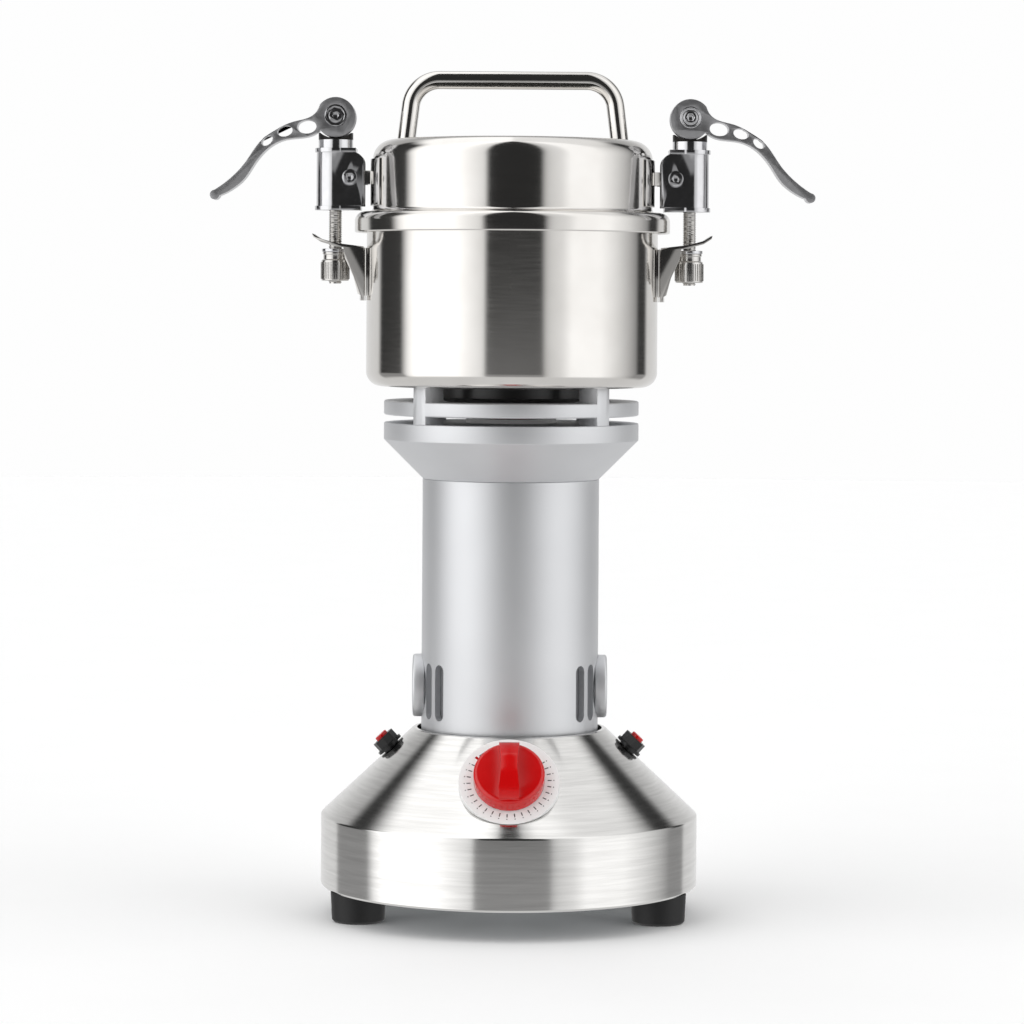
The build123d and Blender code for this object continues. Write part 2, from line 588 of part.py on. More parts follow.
def breaker_nut(azimuth):
    """Black faceted nut with its round foot, screwed on the breaker's bush."""
    foot = Pos(0, 0, 0.55) * Cylinder(
        BREAKER_NUT_R + 0.9, 1.3, align=(Align.CENTER, Align.CENTER, Align.MIN))
    faceted = Pos(0, 0, 1.8) * extrude(RegularPolygon(BREAKER_NUT_R, 8), 4.1)
    piece = foot + faceted - Cylinder(BREAKER_BUSH_R + RUN_GAP, 30)
    piece += Pos(0, 0, 4.4) * (
        Cylinder(BREAKER_BUSH_R + 0.4, 1.5, align=(Align.CENTER, Align.CENTER, Align.MIN))
        - Cylinder(BUTTON_R + 0.15, 30))
    return on_cone(azimuth, BREAKER_OUT, CONE_TILT) * piece


def reset_button(azimuth):
    """Red reset button: 1.6 mm of it stands out of the nut."""
    button = Pos(0, 0, -4) * Cylinder(BUTTON_R, 11.5, align=(Align.CENTER, Align.CENTER, Align.MIN))
    button = fillet(button.edges().filter_by(GeomType.CIRCLE).sort_by(Axis.Z)[-1:], 0.5)
    return on_cone(azimuth, BREAKER_OUT, CONE_TILT) * button


def cable_gland():
    """Black nylon gland at the back of the cone, where the mains lead goes in."""
    body = Pos(0, 0, -7) * Cylinder(GLAND_R, 8, align=(Align.CENTER, Align.CENTER, Align.MIN))
    collar = Pos(0, 0, 0.9) * extrude(RegularPolygon(8.2, 6), 3.4)
    dome = Pos(0, 0, 4.2) * Cone(6.6, 5.0, 4.4, align=(Align.CENTER, Align.CENTER, Align.MIN))
    inner_nut = Pos(0, 0, -6.4) * extrude(RegularPolygon(8.0, 6), 2.4)
    bore = Cylinder(3.4, 60)
    return on_cone(90, GLAND_OUT, CONE_TILT) * (body + collar + dome + inner_nut - bore)


# ---------------------------------------------------------------- rotor
HUB_R = 9.0


def motor_shaft():
    """Stepped steel shaft from the lower bearing up into the bowl."""
    low_end = LOWER_BEARING_Z - 4
    return lathe([(0, low_end), (LOWER_SHAFT_R, low_end), (LOWER_SHAFT_R, LOWER_BEARING_Z + LOWER_BEARING_T + 1),
                  (SHAFT_R, LOWER_BEARING_Z + LOWER_BEARING_T + 1), (SHAFT_R, BLADE_BOTTOM - 2),
                  (HUB_R, BLADE_BOTTOM - 2), (HUB_R, BLADE_BOTTOM),
                  (4.0, BLADE_BOTTOM), (4.0, SHAFT_TOP), (0, SHAFT_TOP)])


BLADE_T = 2.4
SHAFT_TOP = BLADE_BOTTOM + 2 * BLADE_PITCH + BLADE_T + 8.5
SHAFT_FIT = SHAFT_R + 0.02


def armature_core():
    """Slotted lamination stack on the shaft, with the windings in its slots as end turns above and below."""
    core = tube(ROTOR_R, SHAFT_FIT, STATOR_BOTTOM + 1, STATOR_TOP - 1)
    for i in range(12):
        core -= Rot(0, 0, 30 * i) * block(ROTOR_R - 5, ROTOR_R + 1, -0.9, 0.9, STATOR_BOTTOM, STATOR_TOP)
    return core


def armature_winding():
    """Copper end turns at both ends of the armature."""
    low = tube(15.5, SHAFT_FIT, STATOR_BOTTOM - 6, STATOR_BOTTOM + 1)
    return [low, tube(15.5, SHAFT_FIT, STATOR_TOP - 1, STATOR_TOP + 7)]


def commutator():
    """Copper commutator under the armature, with a riser flange."""
    return lathe([(SHAFT_FIT, BRUSH_Z - 8), (COMMUTATOR_R, BRUSH_Z - 8), (COMMUTATOR_R, BRUSH_Z + 7),
                  (COMMUTATOR_R + 1.6, BRUSH_Z + 8), (COMMUTATOR_R + 1.6, STATOR_BOTTOM - 7),
                  (SHAFT_FIT, STATOR_BOTTOM - 7)])


FAN_BOTTOM = STATOR_TOP + 11


def cooling_fan():
    """Fan on the shaft above the stator: hub, disc and twelve straight vanes."""
    fan_r = CARRIER_R - 3.2
    fan = tube(10, SHAFT_FIT, FAN_BOTTOM - 2, FAN_BOTTOM + 6)
    fan += tube(fan_r, SHAFT_FIT, FAN_BOTTOM + 4.6, FAN_BOTTOM + 6)
    for i in range(12):
        fan += Rot(0, 0, 30 * i) * block(9, fan_r - 1, -0.8, 0.8, FAN_BOTTOM - 2, FAN_BOTTOM + 5)
    return fan


def blade(index):
    """Two-armed beater blade: ground edges, with its ends bent up or down by level."""
    low = BLADE_BOTTOM + index * BLADE_PITCH
    half = 9.5
    outline = [(-BLADE_R, -3.5), (-BLADE_R + 9, -8), (-half, -half), (half, -half), (BLADE_R - 9, -3.0),
               (BLADE_R, 3.5), (BLADE_R - 9, 8), (half, half), (-half, half), (-BLADE_R + 9, 3.0)]
    plate = Pos(0, 0, low) * extrude(make_face(Polyline(*outline, close=True)), BLADE_T)
    plate -= cyl(4.0 + RUN_GAP, low - 1, low + BLADE_T + 1)
    return Rot(0, 0, 60 * index + 20) * plate


def blade_spacer(index):
    """Spacer tube between two blades."""
    low = BLADE_BOTTOM + index * BLADE_PITCH + BLADE_T
    return tube(HUB_R, 4.0 + RUN_GAP, low, low + BLADE_PITCH - BLADE_T)


def blade_nut():
    """Domed nut that holds the blades on the shaft."""
    low = BLADE_BOTTOM + 2 * BLADE_PITCH + BLADE_T
    nut = Pos(0, 0, low) * extrude(RegularPolygon(7.5, 6), 6)
    nut += cyl(6.2, low + 6, low + 10.5)
    return nut - cyl(4.0 + RUN_GAP, low - 1, SHAFT_TOP + 0.3)


# ---------------------------------------------------------------- lid
def lid_shell():
    """Drawn lid: rolled skirt over the bowl's lip, drum and rounded flat top."""
    outline = [(SKIRT_R, SKIRT_BOTTOM), (SKIRT_R, SKIRT_TOP), (LID_R, SKIRT_TOP),
               (LID_R, LID_TOP), (0.0, LID_TOP)]
    face = sheet_face(outline, LID_WALL, [4.0, 1.6, LID_CORNER_R])
    return revolve(face, Axis.Z)


def lid_liner():
    """Flat inner plate pressed under the lid's step: it closes the drum and carries the seal."""
    top = SKIRT_TOP - LID_WALL
    return cyl(SKIRT_R - LID_WALL - 3.4, top - 1.0, top)


def lid_seal():
    """Silicone ring under the liner's edge, just above the bowl's lip."""
    top = SKIRT_TOP - LID_WALL - 1.0
    return tube(SKIRT_R - LID_WALL - 4.2, BOWL_R - BOWL_WALL - 3, BOWL_TOP + 0.15, top)


def lid_handle():
    """Bent 8 mm rod handle, its legs welded to the lid's top."""
    top = HANDLE_TOP_Z - HANDLE_ROD_R
    low = LID_TOP - 3.0
    shift = (top - low) * tan(radians(HANDLE_LEAN))
    foot = HANDLE_FOOT_X + 3.0 * tan(radians(HANDLE_LEAN))
    path = Plane.XZ * FilletPolyline((-foot, low), (-foot + shift, top), (foot - shift, top), (foot, low),
                                     radius=HANDLE_BEND_R)
    rod = sweep(Plane(origin=path @ 0, z_dir=path % 0) * Circle(HANDLE_ROD_R), path=path)
    return rod - cyl(BIG, LID_TOP - 20, LID_TOP)


def lid_bracket():
    """Right-hand clamp bracket: curved saddle on the drum and two ears for the pivot bolt."""
    saddle_in = LID_R + RUN_GAP
    saddle = tube(saddle_in + 1.0, saddle_in, SKIRT_TOP + 2.6, LID_TOP - LID_CORNER_R)
    saddle &= block(0, BIG, -23, 23, 0, BIG)
    ear = block(saddle_in, PIVOT_X, -EAR_HALF, EAR_HALF, PIVOT_Z - 3.0, PIVOT_Z + 3.0)
    ear += cyl_y(3.0, PIVOT_X, PIVOT_Z, -EAR_HALF, EAR_HALF)
    ear -= cyl(saddle_in, 0, BIG)
    ear -= block(saddle_in + 2.2, BIG, -EAR_HALF + 2.2, EAR_HALF - 2.2, 0, BIG)
    ear -= cyl_y(PIVOT_R + RUN_GAP, PIVOT_X, PIVOT_Z, -BIG, BIG)
    return saddle + ear


EAR_HALF = HOUSING_R - SHEET_T - FREE_GAP


# ---------------------------------------------------------------- side clamps, right hand
def clamp_housing():
    """U-shaped sheet round the screw, its top plate with a turned ring, and its bottom plate."""
    bottom, top = HOUSING_BOTTOM, HOUSING_TOP

    def plan(radius):
        nose = cyl(radius, bottom, top, SCREW_X)
        return nose + block(HOUSING_INNER_X, SCREW_X, -radius, radius, bottom, top)

    wrap = plan(HOUSING_R) - (cyl(HOUSING_R - SHEET_T, bottom - 1, top + 1, SCREW_X)
                              + block(HOUSING_INNER_X - 5, SCREW_X, -HOUSING_R + SHEET_T, HOUSING_R - SHEET_T,
                                      bottom - 1, top + 1))
    corner = HOUSING_CORNER_R
    sweep_cut = block(HOUSING_INNER_X - 1, HOUSING_INNER_X + corner, -20, 20, top - corner, top + 1)
    sweep_cut -= cyl_y(corner, HOUSING_INNER_X + corner, top - corner, -BIG, BIG)
    wrap -= sweep_cut
    hole = SCREW_R + 0.25
    lid_plate = cyl(HOUSING_R + 0.7, top, top + 1.9, SCREW_X)
    lid_plate += block(HOUSING_INNER_X + 3.6, SCREW_X, -HOUSING_R - 0.2, HOUSING_R + 0.2, top, top + 1.9)
    floor = cyl(HOUSING_R + 0.7, bottom - 1.9, bottom, SCREW_X)
    floor += block(HOUSING_INNER_X + 1.4, SCREW_X, -HOUSING_R - 0.2, HOUSING_R + 0.2, bottom - 1.9, bottom)
    ring = cyl(RING_SEAT_R, top + 1.9, SADDLE_BOTTOM, SCREW_X)
    piece = wrap + lid_plate + floor + ring
    piece -= cyl(hole, 0, BIG, SCREW_X)
    return piece - cyl_y(PIVOT_R + RUN_GAP, PIVOT_X, PIVOT_Z, -BIG, BIG)


RING_SEAT_R = HOUSING_R - 0.8
SADDLE_REST_GAP = 0.4
SADDLE_HOLLOW_R = CAM_R + 1.75
SADDLE_HOLLOW_Z = CAM_PIN_Z - CAM_THROW - CAM_R - SADDLE_REST_GAP
SADDLE_BOTTOM = SADDLE_HOLLOW_Z - 0.55
SADDLE_HEIGHT = 3.0


def cam_saddle():
    """Black block with a hollow top that the cam bears on."""
    saddle = cyl(RING_SEAT_R, SADDLE_BOTTOM, SADDLE_BOTTOM + SADDLE_HEIGHT, SCREW_X)
    saddle -= cyl_y(SADDLE_HOLLOW_R, SCREW_X, SADDLE_HOLLOW_Z + SADDLE_HOLLOW_R, -BIG, BIG)
    return saddle - cyl(SCREW_R + 0.25, SADDLE_BOTTOM - 1, SADDLE_BOTTOM + 10, SCREW_X)


def pivot_bolt():
    """Socket-head bolt through the housing and the lid's ears, with its nut at the back."""
    face = HOUSING_R
    bolt = cyl_y(PIVOT_R, PIVOT_X, PIVOT_Z, -face, face + 2.6)
    bolt += cyl_y(3.25, PIVOT_X, PIVOT_Z, -face - 1.6, -face)
    socket = Pos(PIVOT_X, -face - 1.7, PIVOT_Z) * Rot(-90, 0, 0) * extrude(RegularPolygon(1.5, 6), 1.3)
    nut = Pos(PIVOT_X, face, PIVOT_Z) * Rot(-90, 0, 0) * extrude(RegularPolygon(3.6, 6), 2.0)
    return bolt + nut - socket


EYE_HALF = SCREW_R + RUN_GAP
PIN_R = 3.0


def clamp_screw():
    """Eye screw: threaded shank down through the housing, flat eye round the cam pin."""
    screw = cyl(SCREW_R, SCREW_BOTTOM, CAM_PIN_Z, SCREW_X)
    eye = cyl_y(5.4, SCREW_X, CAM_PIN_Z, -EYE_HALF + 0.1, EYE_HALF - 0.1)
    return screw + eye - cyl_y(PIN_R + 0.02, SCREW_X, CAM_PIN_Z, -BIG, BIG)


def cam_pin():
    """Pin through the eye and the lever's head, with a sunk round head at each end."""
    half = LEVER_WIDTH / 2
    pin = cyl_y(PIN_R, SCREW_X, CAM_PIN_Z, -half + 1, half - 1)
    for sign in (-1, 1):
        y0, y1 = sorted((sign * (half - 1.3), sign * (half + 0.6)))
        pin += cyl_y(4.75, SCREW_X, CAM_PIN_Z, y0, y1)
        y0, y1 = sorted((sign * (half - 0.3), sign * (half + 2)))
        pin -= cyl_y(4.0, SCREW_X, CAM_PIN_Z, y0, y1) - cyl_y(2.9, SCREW_X, CAM_PIN_Z, y0, y1)
    socket = Pos(SCREW_X, -half - 1, CAM_PIN_Z) * Rot(-90, 0, 0) * extrude(RegularPolygon(1.5, 6), 2.6)
    return pin - socket


# lever outline, measured out from the cam pin (out, up)
LEVER_TOP_EDGE = [(11.1, -0.6), (19.5, -3.1), (26.0, -6.3), (31.8, -10.3), (36.0, -15.4), (39.6, -20.8),
                  (46.6, -28.2), (53.1, -32.9)]
LEVER_LOW_EDGE = [(50.8, -35.4), (44.7, -32.2), (39.4, -27.4), (35.9, -22.0), (31.9, -16.8), (27.1, -12.8),
                  (21.6, -10.6), (12.0, -9.3)]
LEVER_TIP = (55.0, -35.2)
LEVER_HOLES = [(12.6, -5.0, 4.2, 3.0, 5), (22.2, -7.0, 3.4, 2.3, 14), (30.0, -11.2, 2.8, 1.8, 40)]


def cam_lever():
    """Cast lever: round cam head, curved arm with three oval windows, and a slot for the screw's eye."""
    head = (0.0, -CAM_THROW)
    top_angle = radians(38)
    top_start = (head[0] + CAM_R * cos(top_angle), head[1] + CAM_R * sin(top_angle))
    low_angle = radians(-40)
    low_end = (head[0] + CAM_R * cos(low_angle), head[1] + CAM_R * sin(low_angle))
    upper = Spline(top_start, *LEVER_TOP_EDGE)
    lower = Spline(*LEVER_LOW_EDGE, low_end)
    tip = ThreePointArc(LEVER_TOP_EDGE[-1], LEVER_TIP, LEVER_LOW_EDGE[0])
    back = ThreePointArc(low_end, (head[0] - CAM_R, head[1]), top_start)
    outline = make_face([upper, tip, lower, back])
    for out, up, long_r, short_r, lean in LEVER_HOLES:
        outline -= Pos(out, up) * Rot(0, 0, -lean) * Ellipse(long_r, short_r)
    lever = Pos(SCREW_X, 0, CAM_PIN_Z) * extrude(Plane.XZ * outline, LEVER_WIDTH / 2, both=True)
    slot_half = EYE_HALF + 0.2
    lever -= block(SCREW_X - 20, SCREW_X + 3.6, -slot_half, slot_half, CAM_PIN_Z - 20, CAM_PIN_Z + 20)
    lever -= cyl_y(5.4 + FREE_GAP, SCREW_X, CAM_PIN_Z, -slot_half, slot_half)
    lever -= cyl_y(PIN_R + RUN_GAP, SCREW_X, CAM_PIN_Z, -BIG, BIG)
    for sign in (-1, 1):
        y0, y1 = sorted((sign * (LEVER_WIDTH / 2 - 1.4), sign * 20))
        lever -= cyl_y(4.75 + 2 * RUN_GAP, SCREW_X, CAM_PIN_Z, y0, y1)
    return lever


def thrust_washer():
    """Thin washer on the screw, between the knurled nut and the fork."""
    return tube(5.9, SCREW_R + 0.08, WASHER_TOP - WASHER_T, WASHER_TOP, SCREW_X)


def knurled_nut():
    """Knurled nut: plain collar above, knurled grip below."""
    collar_bottom = NUT_BOTTOM + NUT_H
    nut = cyl(5.55, collar_bottom, WASHER_TOP - WASHER_T, SCREW_X)
    grip = cyl(NUT_R, NUT_BOTTOM, collar_bottom, SCREW_X)
    grip = chamfer(grip.edges().filter_by(GeomType.CIRCLE), 0.5)
    return nut + grip - cyl(SCREW_R + 0.08, NUT_BOTTOM - 1, WASHER_TOP + 1, SCREW_X)


# ---------------------------------------------------------------- write the pieces
def pair(make):
    """Right-hand piece and its mirror image in one node."""
    return [make(), other_side(make())]


def all_nodes():
    """Every node's name and its solid, or its list of solids."""
    quarter = (45, 135, 225, 315)
    nodes = {
        "base_shell": base_shell(), "bottom_plate": bottom_plate(),
        "rubber_feet": [rubber_foot(x, y) for x, y in foot_centres()],
        "foot_screws": [foot_screw(x, y) for x, y in foot_centres()],
        "lower_end_bracket": lower_end_bracket(),
        "bearings": [bearing(LOWER_BEARING_R - 0.02, LOWER_SHAFT_R, LOWER_BEARING_Z, LOWER_BEARING_T),
                     bearing(UPPER_BEARING_R - 0.02, SHAFT_R, UPPER_BEARING_Z, UPPER_BEARING_T)],
        "motor_tube": motor_tube(), "brush_caps": pair(brush_cap), "brush_carrier": brush_carrier(),
        "brush_holders": pair(brush_holder), "carbon_brushes": pair(carbon_brush),
        "stator_core": stator_core(), "field_coils": pair(field_coil),
        "neck_casting": neck_casting(), "support_ring": support_ring(),
        "insulating_ring": insulating_ring(), "shaft_seal": shaft_seal(),
        "bowl": bowl(), "bowl_hub_cover": bowl_hub_cover(),
        "bowl_screws": [bowl_screw(angle) for angle in quarter], "bracket_pads": pair(bracket_pad),
        "dial_plate": dial_plate(), "timer_body": timer_body(), "timer_knob": timer_knob(),
        "breaker_bodies": [breaker_body(azimuth) for azimuth in (0, 180)],
        "breaker_nuts": [breaker_nut(azimuth) for azimuth in (0, 180)],
        "reset_button_right": reset_button(0), "reset_button_left": reset_button(180),
        "cable_gland": cable_gland(),
        "motor_shaft": motor_shaft(), "armature_core": armature_core(),
        "armature_winding": armature_winding(), "commutator": commutator(), "cooling_fan": cooling_fan(),
        "blades": [blade(index) for index in range(3)],
        "blade_nut_and_spacers": [blade_nut(), blade_spacer(0), blade_spacer(1)],
        "lid_shell": lid_shell(), "lid_liner": lid_liner(), "lid_seal": lid_seal(),
        "lid_handle": lid_handle(),
    }
    for name, make in (("fork_bracket", fork_bracket), ("lid_bracket", lid_bracket),
                       ("clamp_housing", clamp_housing), ("cam_saddle", cam_saddle),
                       ("pivot_bolt", pivot_bolt), ("clamp_screw", clamp_screw), ("cam_pin", cam_pin),
                       ("cam_lever", cam_lever), ("thrust_washer", thrust_washer),
                       ("knurled_nut", knurled_nut)):
        piece = make()
        nodes[name + "_right"] = piece
        nodes[name + "_left"] = other_side(piece)
    return nodes


def write_nodes():
    """One STEP file for each node."""
    os.makedirs("parts", exist_ok=True)
    for name, piece in all_nodes().items():
        pieces = piece if isinstance(piece, list) else [piece]
        solids = [solid for item in pieces for solid in item.solids()]
        shape = solids[0] if len(solids) == 1 else Compound(children=solids)
        export_step(shape, f"parts/{name}.step")


write_nodes()
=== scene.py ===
# %% [markdown]
# # A stand-type grain mill in polished and brushed steel
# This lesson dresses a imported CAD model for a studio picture. The CAD holds every size and every
# joint, so each piece made here sits where the CAD says and rides on a CAD body. Round pieces are
# spun again with fine, even faces, because a mirror finish shows every facet. Small sheet and cast
# pieces are copied from the CAD and get softened edges. Threads, knurls and dial marks repeat, so
# Geometry Nodes make them.

# %% Load the frame
import json
import math

import bmesh
import bpy
from mathutils import Matrix, Vector


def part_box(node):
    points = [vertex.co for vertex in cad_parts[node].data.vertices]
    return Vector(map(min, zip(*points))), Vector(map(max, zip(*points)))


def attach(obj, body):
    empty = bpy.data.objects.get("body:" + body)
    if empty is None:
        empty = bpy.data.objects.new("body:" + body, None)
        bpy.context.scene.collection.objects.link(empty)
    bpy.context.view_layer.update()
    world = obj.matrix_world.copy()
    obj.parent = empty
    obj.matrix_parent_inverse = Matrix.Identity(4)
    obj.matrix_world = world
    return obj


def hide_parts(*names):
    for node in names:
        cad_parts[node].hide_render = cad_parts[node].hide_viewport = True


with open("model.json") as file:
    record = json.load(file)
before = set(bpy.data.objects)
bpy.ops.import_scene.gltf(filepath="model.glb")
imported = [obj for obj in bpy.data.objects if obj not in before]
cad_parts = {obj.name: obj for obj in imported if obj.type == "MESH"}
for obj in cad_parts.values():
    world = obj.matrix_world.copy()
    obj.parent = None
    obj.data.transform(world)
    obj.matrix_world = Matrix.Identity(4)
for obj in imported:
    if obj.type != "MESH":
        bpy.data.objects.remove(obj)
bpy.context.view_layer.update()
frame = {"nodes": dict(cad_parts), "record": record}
nodes = frame["nodes"]
MM = 0.001
print("pieces in the frame:", len(nodes))

# %% [markdown]
# Colours are written as the hex values of a paint card. Shaders work with linear light, so one
# function converts them.

# %% Colours
def paint(code):
    """Turns an sRGB hex value such as #C8C8C8 into the linear colour that shaders use."""
    parts = [int(code[i:i + 2], 16) / 255 for i in (1, 3, 5)]
    return [*(p / 12.92 if p <= 0.04045 else ((p + 0.055) / 1.055) ** 2.4 for p in parts), 1.0]


# %% [markdown]
# A material is a small tree of nodes. One helper adds a node, sets its properties and sockets, and
# links whatever arrives as an output socket. Another starts each material: it reads the piece's own
# Object coordinates, so that a pattern keeps its real size in metres wherever the camera stands.

# %% Node helpers
def add(tree, kind, inputs=None, **settings):
    """Adds a node; inputs maps socket names or numbers to a value or to another node's output."""
    made = tree.nodes.new(kind)
    for name, value in settings.items():
        setattr(made, name, value)
    for name, value in (inputs or {}).items():
        socket = made.inputs[name]
        if isinstance(value, bpy.types.NodeSocket):
            tree.links.new(value, socket)
        else:
            socket.default_value = value
    return made


def start_material(name):
    """A new material, its tree, its shader and its Object coordinates."""
    made = bpy.data.materials.new(name)
    made.use_nodes = True
    tree = made.node_tree
    shader = tree.nodes["Principled BSDF"]
    coords = tree.nodes.new("ShaderNodeTexCoord").outputs["Object"]
    return made, tree, shader, coords


def dress(shader, **values):
    """Sets the shader's own sockets: colour, metallic, roughness and the like."""
    for name, value in values.items():
        shader.inputs[name.replace("_", " ")].default_value = value


def drive(tree, shader, socket, low, high, mask):
    """Lets a mask between 0 and 1 move one socket between two values."""
    spread = add(tree, "ShaderNodeMapRange", {"Value": mask, "To Min": low, "To Max": high})
    tree.links.new(spread.outputs["Result"], shader.inputs[socket])


def tint(tree, shader, dark, light, mask):
    """Lets a mask move the base colour between two paints."""
    blend = add(tree, "ShaderNodeMix", {"Factor": mask}, data_type="RGBA")
    ends = [socket for socket in blend.inputs if socket.type == "RGBA"]
    for socket, code in zip(ends, (dark, light)):
        socket.default_value = paint(code)
    result = [socket for socket in blend.outputs if socket.type == "RGBA"][0]
    tree.links.new(result, shader.inputs["Base Color"])


def grain(tree, coords, size_mm, detail=2.0, stretch=(1.0, 1.0, 1.0)):
    """Noise whose grains are about size_mm across, stretched along chosen axes."""
    place = add(tree, "ShaderNodeMapping", {"Vector": coords, "Scale": stretch})
    noise = add(tree, "ShaderNodeTexNoise",
                {"Vector": place.outputs["Vector"], "Scale": 1 / (size_mm * MM), "Detail": detail})
    return noise.outputs["Fac"]


def relief(tree, shader, height, depth_mm, strength=1.0):
    """Bump from a height mask, with its depth in millimetres."""
    bump = add(tree, "ShaderNodeBump", {"Height": height, "Distance": depth_mm * MM, "Strength": strength})
    tree.links.new(bump.outputs["Normal"], shader.inputs["Normal"])


def round_coords(tree, coords):
    """Coordinates for turned and spun work: distance from the axis, nothing, and height.

    Noise read from these makes rings round the Z axis, as a tool or a brush leaves them."""
    split = add(tree, "ShaderNodeSeparateXYZ", {"Vector": coords})
    x, y, z = (split.outputs[i] for i in range(3))
    xx = add(tree, "ShaderNodeMath", {0: x, 1: x}, operation="MULTIPLY").outputs[0]
    yy = add(tree, "ShaderNodeMath", {0: y, 1: y}, operation="MULTIPLY").outputs[0]
    both = add(tree, "ShaderNodeMath", {0: xx, 1: yy}, operation="ADD").outputs[0]
    radius = add(tree, "ShaderNodeMath", {0: both}, operation="SQRT").outputs[0]
    angle = add(tree, "ShaderNodeMath", {0: y, 1: x}, operation="ARCTAN2").outputs[0]
    turned = add(tree, "ShaderNodeMath", {0: angle, 1: 0.004}, operation="MULTIPLY").outputs[0]
    return add(tree, "ShaderNodeCombineXYZ", {"X": radius, "Y": turned, "Z": z}).outputs["Vector"]


# %% [markdown]
# ## Metals
# The bowl and the lid are deep-drawn 304 stainless, buffed to a mirror. What the eye sees is almost
# only the room, very slightly smeared by the buffing, with faint cloudy patches. The base is the
# same steel, spun on a lathe and brushed round, so its lights spread out across the brush lines.

# %% Mirror-polished stainless
def buffed_stainless():
    """Buffed 304: near-mirror, with a faint lengthwise smear and cloudy wiping marks."""
    made, tree, shader, coords = start_material("buffed_stainless")
    dress(shader, Metallic=1.0)
    clouds = grain(tree, coords, 22, 3.0)
    tint(tree, shader, "#CFCCC8", "#E2E0DD", clouds)
    rings = grain(tree, round_coords(tree, coords), 0.9, 4.0)
    drive(tree, shader, "Roughness", 0.07, 0.15, rings)
    relief(tree, shader, rings, 0.004, 0.25)
    return made


# %% Brushed stainless
def brushed_stainless():
    """Spun and belt-brushed 304: fine rings round the axis, drawn 0.35 mm apart so that they show."""
    made, tree, shader, coords = start_material("brushed_stainless_spun")
    dress(shader, Metallic=1.0)
    around = round_coords(tree, coords)
    rings = grain(tree, around, 0.35, 5.0)
    streaks = grain(tree, around, 1.6, 4.0)
    tint(tree, shader, "#C4C3C1", "#EAE9E7", streaks)
    drive(tree, shader, "Roughness", 0.07, 0.18, rings)
    relief(tree, shader, rings, 0.01, 0.25)
    return made


# %% [markdown]
# The column, its flared neck and the ring are aluminium, blasted with fine beads: an even, silky
# grey with no lines in it. Blasting leaves tiny dents about a quarter of a millimetre across.

# %% Blasted aluminium
def blasted_aluminium():
    """Bead-blasted and clear-anodised aluminium, with 0.3 mm dents."""
    made, tree, shader, coords = start_material("blasted_anodised_aluminium")
    dress(shader, Metallic=1.0)
    dents = grain(tree, coords, 0.3, 2.0)
    clouds = grain(tree, coords, 35, 2.0)
    tint(tree, shader, "#DCDDDF", "#E8E9EB", clouds)
    drive(tree, shader, "Roughness", 0.48, 0.6, dents)
    relief(tree, shader, dents, 0.02, 0.5)
    return made


# %% [markdown]
# The clamp parts are steel castings and pressings with a thin bright chrome plate. Chrome is a
# little darker and bluer than stainless. Handled edges get small scuffs, so the roughness wanders.

# %% Chrome and other steels
def chrome_plate(name="chrome_plated_steel", dull=0.0):
    """Bright chrome on pressed steel, lightly scuffed; dull adds roughness for a tumbled casting."""
    made, tree, shader, coords = start_material(name)
    dress(shader, Metallic=1.0)
    scuffs = grain(tree, coords, 3.0, 5.0)
    tint(tree, shader, "#C4C4C6", "#D6D6D8", scuffs)
    drive(tree, shader, "Roughness", 0.06 + dull, 0.18 + dull, scuffs)
    relief(tree, shader, grain(tree, coords, 2.4, 2.0), 0.003, 0.2)
    return made


def turned_steel(name, dark, light, rough_low, rough_high, pitch_mm):
    """Turned or ground steel about an upright axis, its tool lines drawn pitch_mm apart."""
    made, tree, shader, coords = start_material(name)
    dress(shader, Metallic=1.0)
    lines = grain(tree, coords, pitch_mm, 3.0, (0.05, 0.05, 1.0))
    tint(tree, shader, dark, light, lines)
    drive(tree, shader, "Roughness", rough_low, rough_high, lines)
    relief(tree, shader, lines, 0.004, 0.2)
    return made


def black_oxide_steel():
    """Chemically blacked steel with an oily, slightly worn skin."""
    made, tree, shader, coords = start_material("black_oxide_steel")
    dress(shader, Metallic=0.7)
    worn = grain(tree, coords, 1.5, 5.0)
    tint(tree, shader, "#0E0D0D", "#2A2725", worn)
    drive(tree, shader, "Roughness", 0.28, 0.5, worn)
    return made


def plain_metal(name, dark, light, rough_low, rough_high, size_mm, depth_mm):
    """Cast, pressed, wound or stacked metal with an even grain of a given size."""
    made, tree, shader, coords = start_material(name)
    dress(shader, Metallic=1.0)
    skin = grain(tree, coords, size_mm, 4.0)
    tint(tree, shader, dark, light, skin)
    drive(tree, shader, "Roughness", rough_low, rough_high, skin)
    relief(tree, shader, skin, depth_mm, 0.6)
    return made


def copper_windings():
    """Enamelled copper wire, 0.5 mm thick, wound up and down the coils."""
    made, tree, shader, coords = start_material("enamelled_copper_wire")
    dress(shader, Metallic=0.9)
    wave = add(tree, "ShaderNodeTexWave",
               {"Vector": coords, "Scale": 320.0, "Distortion": 0.6, "Detail": 1.0}, bands_direction="Y")
    turns = wave.outputs["Fac"]
    tint(tree, shader, "#6B2E12", "#C06A35", turns)
    drive(tree, shader, "Roughness", 0.28, 0.5, turns)
    relief(tree, shader, turns, 0.25, 0.7)
    return made


# %% [markdown]
# ## Plastics and rubber
# Moulded parts show the spark-eroded or polished inside of their mould. The knob is glossy red ABS,
# the dial is satin white ABS with printed marks, the nuts and the gland are black nylon, and the feet
# are matt black rubber with a fine dusty skin.

